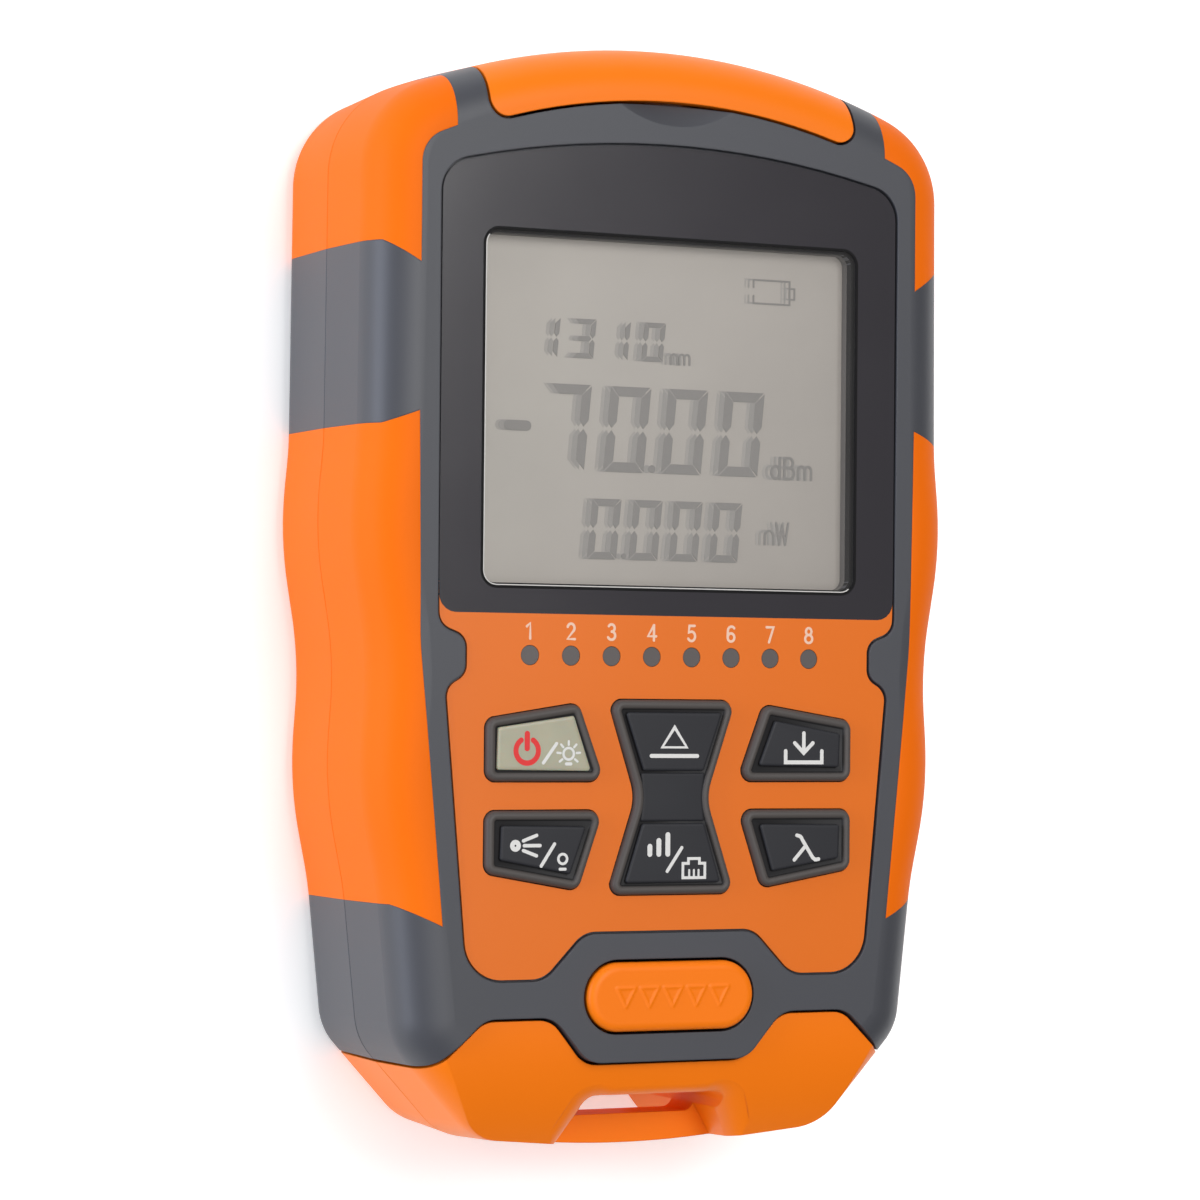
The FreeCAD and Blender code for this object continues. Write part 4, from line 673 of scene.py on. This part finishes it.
PAD_LIFT = 0.05
for name, body, corners in (
    ("save_key", "save_button", UPPER_KEY),
    ("laser_key", "laser_button", flipped(LOWER_KEY)),
    ("wavelength_key", "wavelength_button", LOWER_KEY),
):
    rubber_key(name, body, corners, [(pad_inside(corners), PAD_LIFT)])
rubber_key("power_key", "power_button", flipped(UPPER_KEY), [])
REFERENCE_PAD = [(-3.55, -18.3, 0.3), (3.55, -18.3, 0.3), (5.7, -12.2, 0.3), (-5.7, -12.2, 0.3)]
LEVEL_PAD = [(-5.65, -30.0, 0.3), (5.65, -30.0, 0.3), (3.65, -23.8, 0.3), (-3.65, -23.8, 0.3)]
# The rocker's waist lies lower than its two pads
WAIST = [(-3.8, -23.6, 0.2), (3.8, -23.6, 0.2), (3.5, -21.1, 2.0)]
WAIST += [(3.8, -18.5, 0.2), (-3.8, -18.5, 0.2), (-3.5, -21.1, 2.0)]
rubber_key(
    "rocker_key", "rocker", ROCKER, [(REFERENCE_PAD, PAD_LIFT), (LEVEL_PAD, PAD_LIFT), (WAIST, -0.2)]
)
insert_top = top_of("power_key_insert")
INSERT_EDGE = [(0.0, -0.45), (0.0, -0.12), (0.08, -0.04), (0.3, 0.0)]
insert_profile = [(inward, insert_top + height) for inward, height in INSERT_EDGE]
insert_cap = cap(pad_inside(flipped(UPPER_KEY), 1.1), insert_profile)
insert = build("power_insert_cap", [insert_cap], insert_silicone, "power_button")
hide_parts("power_key_insert")


def merge(mesh):
    """Join the points of a mesh that lie within a tenth of a micrometre of each other."""
    work = bmesh.new()
    work.from_mesh(mesh)
    bmesh.ops.remove_doubles(work, verts=work.verts, dist=1e-4 * MM)
    work.to_mesh(mesh)
    work.free()


def closest_on(line, points):
    """Nearest point of a closed line to each of many points.

    Each point is dropped square onto every side, held within the side's ends, and the nearest foot kept.
    """
    ahead = np.roll(line, -1, axis=0) - line
    from_start = points[:, None, :] - line[None]
    share = (from_start * ahead).sum(axis=2) / np.maximum((ahead**2).sum(axis=1), 1e-12)
    feet = line + np.clip(share, 0, 1)[..., None] * ahead
    gaps = np.linalg.norm(points[:, None, :] - feet, axis=2)
    nearest = gaps.argmin(axis=1)
    rows = np.arange(len(points))
    return feet[rows, nearest], gaps[rows, nearest]


def fitted_copy(node, name, lines, above=0.0):
    """The own mesh of a node of the housing, with the rims of its openings moved sideways onto new lines.

    Each line is an outline, the distance it is moved inwards and a reach: every point over a given height
    and nearer to the line than the reach moves to its nearest place on it.
    """
    mesh = nodes[node].data.copy()
    mesh.name = name
    places = np.empty(3 * len(mesh.vertices))
    mesh.vertices.foreach_get("co", places)
    places = places.reshape(-1, 3)
    for corners, inward, reach in lines:
        feet, gaps = closest_on(rounded_outline(corners, inward, 12) * MM, places[:, :2])
        near = (gaps < reach * MM) & (places[:, 2] > above * MM)
        places[near, :2] = feet[near]
    mesh.vertices.foreach_set("co", places.ravel())
    mesh.update()
    piece = stand(name, mesh)
    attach(piece, "housing")
    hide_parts(node)


# The window, and the lower half of the lens: their corners are tighter than the nodes'
SCREEN = [(-21.95, 0.7, 1.6), (21.95, 0.7, 1.6), (21.95, 37.5, 1.6), (-21.95, 37.5, 1.6)]
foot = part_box("screen_surround")[0].y / MM
LENS_FOOT = [(-26.8, foot, 1.9), (26.8, foot, 1.9), (26.8, foot + 12, 0.5), (-26.8, foot + 12, 0.5)]
lens_corners = (LENS_FOOT, 0.0, 0.7)
# The film's openings are drawn in to a hairline round the caps
HAIRLINE = -0.12
outer_keys = (UPPER_KEY, flipped(UPPER_KEY), LOWER_KEY, flipped(LOWER_KEY))
film_lines = [(corners, HAIRLINE, 0.75) for corners in outer_keys]
film_lines += [(ROCKER, HAIRLINE, 1.7), lens_corners]
fitted_copy("key_panel", "key_film", film_lines)
fitted_copy("screen_surround", "lens_frame", [(SCREEN, 0.0, 0.9), lens_corners])
fitted_copy("lcd_window", "lens_window", [(SCREEN, 0.02, 0.9)])
fitted_copy("front_shell", "front_shell_fitted", [(SCREEN, 0.3, 0.75)], above=24.1)
pad_top = key_top + PAD_LIFT


def sign(name, marks, body, ink=white_ink, level=pad_top, slot="key_rubber"):
    """Printed lines on a key: each mark is a path, its width and, where the line closes, True."""
    parts = []
    for rank, (path, width, *closed) in enumerate(marks):
        parts.append(stroke(path, width, level - 0.03, level + 0.015 + CROSSING * rank, *closed))
    build(name, parts, ink, body)


sign(
    "power_sign",
    [(arc(-17.0, -16.25, 1.28, 1.28, 122, 418, 26), 0.56), ([(-17.0, -14.5), (-17.0, -16.0)], 0.6)],
    "power_button",
    red_ink,
    insert_top,
    "key_insert",
)
# Light: a bulb with seven rays and a base, after the stroke that parts it from the power sign
bulb = np.array([-12.25, -16.55])
light = [(ring(*bulb, 0.6), 0.26, True)]
for ray in range(7):
    turn = math.radians(-38 + 42.7 * ray)
    way = np.array([math.cos(turn), math.sin(turn)])
    light.append((np.array([bulb + way * 0.93, bulb + way * 1.3]), 0.24))
light.append(([(-12.5, -17.6), (-12.0, -17.6)], 0.34))
light.append(([(-15.15, -17.5), (-13.65, -15.5)], 0.34))
sign("light_sign", light, "power_button", white_ink, insert_top, "key_insert")

# Reference: a triangle standing on a line, the usual sign for a difference from a set level.
# Level and wire test: rising bars, a stroke and the outline of a modular plug.
PLUG = [(1.1, -29.5), (3.7, -29.5), (3.7, -28.0), (3.05, -28.0)]
PLUG += [(3.05, -27.5), (1.75, -27.5), (1.75, -28.0), (1.1, -28.0)]
sign(
    "rocker_sign",
    [
        ([(-1.45, -15.85), (1.45, -15.85), (0.0, -13.75)], 0.4, True),
        ([(-2.7, -16.75), (2.7, -16.75)], 0.42),
        ([(-2.8, -27.0), (-2.8, -26.2)], 0.56),
        ([(-1.75, -27.0), (-1.75, -25.6)], 0.56),
        ([(-0.7, -27.0), (-0.7, -25.0)], 0.56),
        ([(-0.75, -28.8), (0.95, -26.35)], 0.36),
        (PLUG, 0.3, True),
        ([(1.85, -29.35), (1.85, -28.7)], 0.22),
        ([(2.4, -29.35), (2.4, -28.7)], 0.22),
        ([(2.95, -29.35), (2.95, -28.7)], 0.22),
    ],
    "rocker",
)
# Store: an arrow down into a tray
sign(
    "save_key_sign",
    [
        ([(15.5, -14.3), (15.5, -16.2)], 0.42),
        ([(14.4, -15.35), (15.5, -16.4), (16.6, -15.35)], 0.42),
        ([(13.3, -16.2), (13.3, -17.4), (17.7, -17.4), (17.7, -16.2)], 0.42),
    ],
    "save_button",
)
# Fault-finding light: a point throwing three beams, and a small lamp after the stroke
sign(
    "laser_key_sign",
    [
        (ring(-18.3, -26.0, 0.36), 0.5, True),
        ([(-17.3, -26.0), (-15.5, -26.0)], 0.36),
        ([(-17.4, -25.5), (-15.9, -24.95)], 0.36),
        ([(-17.4, -26.5), (-15.9, -27.05)], 0.36),
        ([(-15.35, -28.1), (-13.85, -25.85)], 0.36),
        (ring(-12.9, -27.4, 0.5), 0.28, True),
        ([(-13.2, -28.45), (-12.6, -28.45)], 0.3),
    ],
    "laser_button",
)
# Wavelength: the Greek letter that stands for it
long_leg = np.concatenate(
    [
        [(14.75, -25.15)],
        arc(14.9, -25.75, 0.5, 0.55, 75, 20, 5),
        [(16.7, -27.55), (17.0, -27.75), (17.4, -27.7)],
    ]
)
sign(
    "wavelength_key_sign", [(long_leg, 0.4), ([(15.75, -26.35), (14.45, -27.75)], 0.4)], "wavelength_button"
)


def release_cap():
    """Release button: a pill with a soft edge and five raised triangles pointing to the remote.

    Each point is a place on the pill's middle segment plus a radius along the outward direction there.
    The radius falls from the pill's half width to nothing; the height follows a quarter ellipse over the
    soft edge and is flat inside it. Near a triangle's side it rises by the falling half of a cosine.
    """
    reach, wide, middle = 6.1, 3.6, -41.85
    soft, drop, skirt = 0.9, 0.75, 2.9
    pitch, relief, flank = 2.75, 0.08, 0.3
    high = top_of("release_button") - 0.08
    turn = np.linspace(-np.pi / 2, np.pi / 2, 49)
    run = np.linspace(1, -1, 183)[1:-1]
    spine = np.concatenate([np.full(49, reach), run * reach, np.full(49, -reach), -run * reach])
    away_x = np.concatenate([np.cos(turn), 0 * run, -np.cos(turn), 0 * run])
    away_y = np.concatenate([np.sin(turn), 0 * run + 1, -np.sin(turn), 0 * run - 1])
    edge = soft * (1 - np.cos(np.linspace(0.15, np.pi / 2, 10)))
    inward = np.concatenate([[0.0, 0.0], edge, np.linspace(0.95, wide, 56)])
    fall = np.clip(1 - inward / soft, 0, 1)
    height = high - drop * (1 - np.sqrt(1 - fall**2))
    height[0] = high - skirt
    radius = (wide - inward)[:, None]
    flat = np.stack([spine + radius * away_x, middle + radius * away_y], axis=-1).reshape(-1, 2)
    rise = np.zeros(len(flat))
    for place in range(5):
        x = (place - 2) * pitch
        triangle = np.array([(x - 1.05, middle + 0.95), (x + 1.05, middle + 0.95), (x, middle - 1.0)])
        _, gaps = closest_on(triangle, flat)
        rise = np.maximum(rise, relief / 2 * (1 + np.cos(np.pi * np.clip(gaps / flank, 0, 1))))
    points = np.c_[flat, np.repeat(height, len(spine)) + rise]
    faces = sheet_faces(len(inward), len(spine))
    faces.append(list(range(len(spine)))[::-1])
    piece = build("release_cap", [(points, faces)], orange_abs, "release", smooth=True)
    merge(piece.data)
    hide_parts("release_button")


release_cap()


def keep_normals(mesh, sign):
    """Write the mesh's corner normals, times a sign, to an attribute that a cut carries along."""
    normals = np.empty(3 * len(mesh.loops))
    mesh.corner_normals.foreach_get("vector", normals)
    mesh.attributes.new("carried", "FLOAT_VECTOR", "CORNER").data.foreach_set("vector", sign * normals)


def cut_copy(node, name, body, slot, tool_points, tool_faces):
    """A node's own mesh less a tool; each cut face keeps the tool's shading and the rest keeps its own."""
    tool_mesh = bpy.data.meshes.new("tool")
    tool_mesh.from_pydata((tool_points * MM).tolist(), [], tool_faces)
    tool_mesh.shade_smooth()
    tool_mesh.set_sharp_from_angle(angle=math.radians(40))
    keep_normals(tool_mesh, -1)
    tool = stand("tool", tool_mesh)
    mesh = nodes[node].data.copy()
    keep_normals(mesh, 1)
    merge(mesh)
    piece = stand(name, mesh)
    cut = piece.modifiers.new("cut", "BOOLEAN")
    cut.object = tool
    cut.operation = "DIFFERENCE"
    cut.solver = "EXACT"
    graph = bpy.context.evaluated_depsgraph_get()
    mesh = bpy.data.meshes.new_from_object(piece.evaluated_get(graph))
    mesh.name = name
    piece.modifiers.clear()
    piece.data = mesh
    bpy.data.objects.remove(tool)
    carried = np.empty(3 * len(mesh.loops))
    mesh.attributes["carried"].data.foreach_get("vector", carried)
    carried = carried.reshape(-1, 3)
    carried /= np.maximum(np.linalg.norm(carried, axis=1), 1e-6)[:, None]
    mesh.shade_smooth()
    mesh.normals_split_custom_set(carried.tolist())
    mesh.attributes.remove(mesh.attributes["carried"])
    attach(piece, body)
    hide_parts(node)


def flared_notch():
    """Tool that rounds the lips of the remote's strap notch, as the moulding has them.

    It is the notch's outline carried up through the face. At an angle a of the lip's quarter circle each
    point has moved outwards by r (1 - cos a) and lies r (1 - sin a) under the face, whose height follows
    the nose's arc along Y. The radius r is 0.9 mm at the notch's head and grows to 3 mm on its sides with
    the sideways share of the outline's normal.
    """
    outline = [(-15.12, -66.0, 0.12), (15.12, -66.0, 0.12), (7.2, -52.3, 2.6), (-7.2, -52.3, 2.6)]
    inner = rounded_outline(outline, 0.0, 16)
    outward = rounded_outline(outline, -1.0, 16) - inner
    nose_start, nose_radius, floor_level = -43.5, 24.0, 16.3
    top = top_of("remote_front_shell")

    def face_height(y):
        past = np.minimum(y - nose_start, 0.0)
        return np.maximum(top - nose_radius + np.sqrt(np.maximum(nose_radius**2 - past**2, 0.0)), 18.2)

    head_lip, side_lip = 0.9, 3.0
    radius = head_lip + (side_lip - head_lip) * np.clip(np.abs(outward[:, 0]), 0, 1)
    radius = np.minimum(radius, 0.8 * (face_height(inner[:, 1]) - floor_level))
    start = inner - 0.05 * outward
    lip_foot = face_height(start[:, 1]) - radius
    rings = [np.c_[start, np.full(len(inner), floor_level)], np.c_[start, lip_foot]]
    for angle in np.radians([18, 28, 38, 48, 58, 68, 77, 85]):
        moved = inner + (radius * (1 - np.cos(angle)))[:, None] * outward
        rings.append(np.c_[moved, face_height(moved[:, 1]) - radius * (1 - np.sin(angle))])
    rings.append(np.c_[rings[-1][:, :2], np.full(len(inner), 30.0)])
    faces = sheet_faces(len(rings), len(inner))
    last = len(inner) * (len(rings) - 1)
    faces += [list(range(len(inner)))[::-1], list(range(last, last + len(inner)))]
    return np.concatenate(rings), faces


cut_copy("remote_front_shell", "remote_front_flared", "remote", "orange_plastic", *flared_notch())

# Display figures: seven bevelled bars a digit, leaning five degrees
LEAN = 0.095
SEGMENTS = {"0": "abcdef", "1": "bc", "3": "abcdg", "7": "abc"}


def bars(figure, x, y, wide, high, thick, low, top, shift):
    """The lit bars of one digit as slabs with mitred ends and a pointed waist, leant to the right."""
    gap = thick * 0.12
    middle = high / 2
    inner_left, inner_right = thick + gap * 0.3, wide - thick - gap * 0.3
    shapes = {
        "a": [(gap, high), (inner_left, high - thick), (inner_right, high - thick), (wide - gap, high)],
        "g": [
            (thick * 0.75, middle),
            (thick * 1.2, middle - thick / 2),
            (wide - thick * 1.2, middle - thick / 2),
            (wide - thick * 0.75, middle),
            (wide - thick * 1.2, middle + thick / 2),
            (thick * 1.2, middle + thick / 2),
        ],
        "f": [
            (0, high - gap),
            (0, middle + thick * 0.75),
            (thick * 0.5, middle + gap),
            (thick, middle + thick * 0.75),
            (thick, high - thick - gap),
        ],
    }
    for upper, lower in ("ad", "fe"):
        shapes[lower] = [(px, high - py) for px, py in reversed(shapes[upper])]
    for left, right in ("fb", "ec"):
        shapes[right] = [(wide - px, py) for px, py in reversed(shapes[left])]
    made = []
    for bar in SEGMENTS[figure]:
        along, up = np.array(shapes[bar], float).T
        made.append(plate(np.c_[x + shift + along + LEAN * up, y + up], low, top))
    return made


LETTERS = {
    "n": [np.concatenate([[(0.0, 0.0)], arc(0.22, 0.42, 0.22, 0.2, 180, 0, 8), [(0.44, 0.0)]])],
    "m": [
        np.concatenate([[(0.0, 0.0)], arc(0.18, 0.44, 0.18, 0.18, 180, 0, 7), [(0.36, 0.0)]]),
        np.concatenate([[(0.36, 0.3)], arc(0.54, 0.44, 0.18, 0.18, 180, 0, 7), [(0.72, 0.0)]]),
    ],
    "d": [arc(0.22, 0.3, 0.22, 0.3, 0, 345, 16), [(0.46, 0.0), (0.46, 1.0)]],
    "B": [
        [(0.0, 0.0), (0.0, 1.0)],
        np.concatenate([[(0.0, 1.0)], arc(0.25, 0.77, 0.22, 0.23, 90, -90, 8), [(0.0, 0.54)]]),
        np.concatenate([[(0.1, 0.54)], arc(0.27, 0.27, 0.26, 0.27, 90, -90, 8), [(0.0, 0.0)]]),
    ],
    "W": [
        [(0.0, 1.0), (0.16, 0.0)],
        [(0.32, 0.9), (0.16, 0.0)],
        [(0.32, 0.9), (0.48, 0.0)],
        [(0.64, 1.0), (0.48, 0.0)],
    ],
}
LETTER_STEPS = {"n": 0.6, "m": 0.88, "d": 0.7, "B": 0.74, "W": 0.8}
# Digits with the left side of each, and their foot, width, height and bar
ROWS = (
    ("1310", (-15.06, -10.87, -6.84, -2.69), 24.75, 2.5, 4.14, 0.55),
    ("7000", (-14.07, -7.08, -0.27, 6.55), 12.97, 4.75, 9.02, 1.05),
    ("0000", (-8.87, -4.01, 0.76, 5.56), 3.76, 3.39, 6.36, 0.78),
)
# Decimal points: place and radius
POINTS = ((-1.33, 13.42, 0.42), (-4.57, 4.15, 0.3))
# Units: place, height and line width
UNITS = (("nm", 0.8, 24.62, 1.7, 0.24), ("dBm", 13.05, 12.9, 2.25, 0.3), ("nW", 12.3, 5.85, 2.3, 0.26))
glass_top = top_of("lcd_glass")


def figures(low, top, shift):
    """Everything the display shows, moved sideways by a shift."""
    made = []
    for digits, places, *sizes in ROWS:
        for figure, x in zip(digits, places):
            made += bars(figure, x, *sizes, low, top, shift)
    for x, y, radius in POINTS:
        made.append(plate(ring(x + shift, y, radius, 16), low, top))
    minus = [
        arc(-16.0 + shift, 17.45, 0.55, 0.55, -90, 90, 9),
        arc(-18.05 + shift, 17.45, 0.55, 0.55, 90, 270, 9),
    ]
    made.append(plate(np.concatenate(minus), low, top))
    rank = 0
    for word, x, y, tall, width in UNITS:
        for letter in word:
            for path in LETTERS[letter]:
                rank += 1
                level = top + CROSSING * (rank % 4)
                made.append(stroke(placed(path, x + shift, y, tall), width, low, level))
            x += tall * LETTER_STEPS[letter]
    # The battery sign is a box with a small cap
    box = [
        [(10.7, 33.3), (10.7, 34.1), (15.1, 34.1), (15.1, 31.6), (10.7, 31.6), (10.7, 32.4)],
        [(15.1, 32.2), (15.7, 32.2), (15.7, 33.35), (15.1, 33.35)],
    ]
    for rank, path in enumerate(box):
        made.append(stroke(np.array(path) + (shift, 0), 0.2, low, top + CROSSING * rank))
    return made


for name, height, shift, ink in (
    ("display_figures", 0.06, 0.0, segment_ink),
    ("display_shadow_near", 0.04, -0.6, near_shadow),
    ("display_shadow_far", 0.02, -1.0, far_shadow),
):
    build(name, figures(glass_top, glass_top + height, shift), ink, "housing")

# Painted shade round the window: a black line on the lens and a black wall down to the display, where the
# recess lies in shade
lens_top = top_of("screen_surround")


def window_wall(name, profile, ink):
    """Band that follows the window's outline: a ring for each (distance inwards, height)."""
    steps = 12
    around = len(SCREEN) * steps
    rings = []
    for inward, height in profile:
        rings.append(np.c_[rounded_outline(SCREEN, inward, steps), np.full(around, height)])
    faces = sheet_faces(len(rings), around)
    build(name, [(np.concatenate(rings), faces)], ink, "housing")


# Just inside the shell's own wall, down to the display's foam
shell_wall = 0.33
foam_top = glass_top + 0.95
window_wall(
    "window_rim_shade",
    [
        (-0.24, lens_top + 0.005),
        (-0.2, lens_top + 0.02),
        (0.02, lens_top + 0.02),
        (0.06, lens_top - 0.1),
        (0.06, lens_top - 0.48),
        (shell_wall, lens_top - 0.5),
        (shell_wall, foam_top),
    ],
    painted_window_shade,
)
window_wall(
    "display_gasket",
    [(shell_wall, foam_top), (shell_wall + 0.05, foam_top - 0.05), (shell_wall + 0.05, glass_top + 0.02)],
    foam,
)
# Painted highlight: a near-white line on the window's left and lower edges, where the polished edge would
# catch the light
corner_steps = 8
edge_line = rounded_outline(SCREEN, 0.12, corner_steps)
# From the middle of the upper left corner to the middle of the lower right one
start, end = 3 * corner_steps + corner_steps // 2, corner_steps + corner_steps // 2
edge_line = np.concatenate([edge_line[start:], edge_line[:end]])
edge_slab = stroke(edge_line, 0.1, lens_top - 0.05, lens_top + 0.01)
build("window_edge_highlight", [edge_slab], painted_edge_highlight, "housing")


def contact_wires(name, centre, jack, body):
    """Eight gold-flashed wires that slant down from the ceiling of a jack's socket, 1.02 mm apart.

    Each is a rectangle across the wire carried along a straight line, from near the mouth to deep inside.
    """
    pitch, roof = 1.02, 1.4
    mouth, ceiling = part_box(jack)[1].y / MM, top_of(jack) - roof
    parts = []
    for place in range(8):
        x = centre + (place - 3.5) * pitch
        rings = []
        for y, z in ((mouth - 1.5, ceiling - 0.1), (mouth - 9.0, ceiling - 2.4)):
            rings += [(x + 0.2, y, z), (x - 0.2, y, z), (x - 0.2, y, z - 0.3), (x + 0.2, y, z - 0.3)]
        parts.append((rings, sheet_faces(2, 4) + [[3, 2, 1, 0], [4, 5, 6, 7]]))
    build(name, parts, gold, body)


contact_wires("network_contacts", 7.25, "network_jack", "housing")
contact_wires("remote_contacts", 0.0, "remote_jack", "remote")

# Floor and soft light
floor_half = 3.0
floor_mesh = bpy.data.meshes.new("studio_floor")
corners = np.array([(-1, -1, 0), (1, -1, 0), (1, 1, 0), (-1, 1, 0)], float) * floor_half
floor_mesh.from_pydata(corners.tolist(), [], [(0, 1, 2, 3)])
floor = stand("studio_floor", floor_mesh)
# Matt white acrylic, faintly lit from below as a light table is: no gloss and only a soft shadow
paper = moulded(
    "light_table_acrylic",
    "#FAFAF9",
    0.9,
    1.5,
    0.002,
    0.005,
    **{"Specular IOR Level": 0.0, "Emission Color": linear("#FFFFFF"), "Emission Strength": 0.35},
)
floor_mesh.materials.append(paper)

# Light tent: even all round, brighter low down at the head and the foot, dimmer at the right
world = bpy.data.worlds.new("light_tent")
bpy.context.scene.world = world
world.use_nodes = True
tent = world.node_tree
tent.nodes.clear()
way = add(tent, "ShaderNodeTexCoord").outputs["Generated"]
across, along, height = add(tent, "ShaderNodeSeparateXYZ", {"Vector": way}).outputs
low = add(tent, "ShaderNodeMapRange", {"Value": height, "From Max": 0.35, "To Min": 1.0, "To Max": 0.0})
foot = add(tent, "ShaderNodeMapRange", {"Value": along, "From Min": 0.0, "From Max": -1.0, "To Max": 0.15})
head = add(tent, "ShaderNodeMapRange", {"Value": along, "To Max": 1.3})
ends = add(tent, "ShaderNodeMath", {0: foot.outputs["Result"], 1: head.outputs["Result"]}, operation="ADD")
even = add(tent, "ShaderNodeMapRange", {"Value": across, "To Min": 0.28, "To Max": 0.12})
strength = add(
    tent,
    "ShaderNodeMath",
    {0: low.outputs["Result"], 1: ends.outputs["Value"], 2: even.outputs["Result"]},
    operation="MULTIPLY_ADD",
)
glow = add(
    tent, "ShaderNodeBackground", {"Color": linear("#F8FAFF"), "Strength": strength.outputs["Value"]}
)
add(tent, "ShaderNodeOutputWorld", {"Surface": glow.outputs["Background"]})


def soft_light(name, place, aim, width, depth, watts):
    """Large flat light turned towards a point."""
    data = bpy.data.lights.new(name, "AREA")
    data.shape = "RECTANGLE"
    data.size = width
    data.size_y = depth
    data.energy = watts
    lamp = stand(name, data)
    lamp.location = place
    lamp.rotation_euler = (Vector(aim) - Vector(place)).to_track_quat("-Z", "Y").to_euler()
    return lamp


soft_light("ceiling_softbox", (0.1, 0.3, 0.8), (0.02, 0.05, 0.02), 0.5, 0.45, 3.1)
soft_light("overhead_softbox", (-0.12, 0.0, 1.2), (0, 0, 0.02), 1.1, 1.1, 6.3)
window = soft_light("left_low_window", (-0.9, 0.1, 0.14), (0, 0, 0.015), 0.8, 0.3, 5.4)
window.data.color = linear("#E4ECFF")[:3]
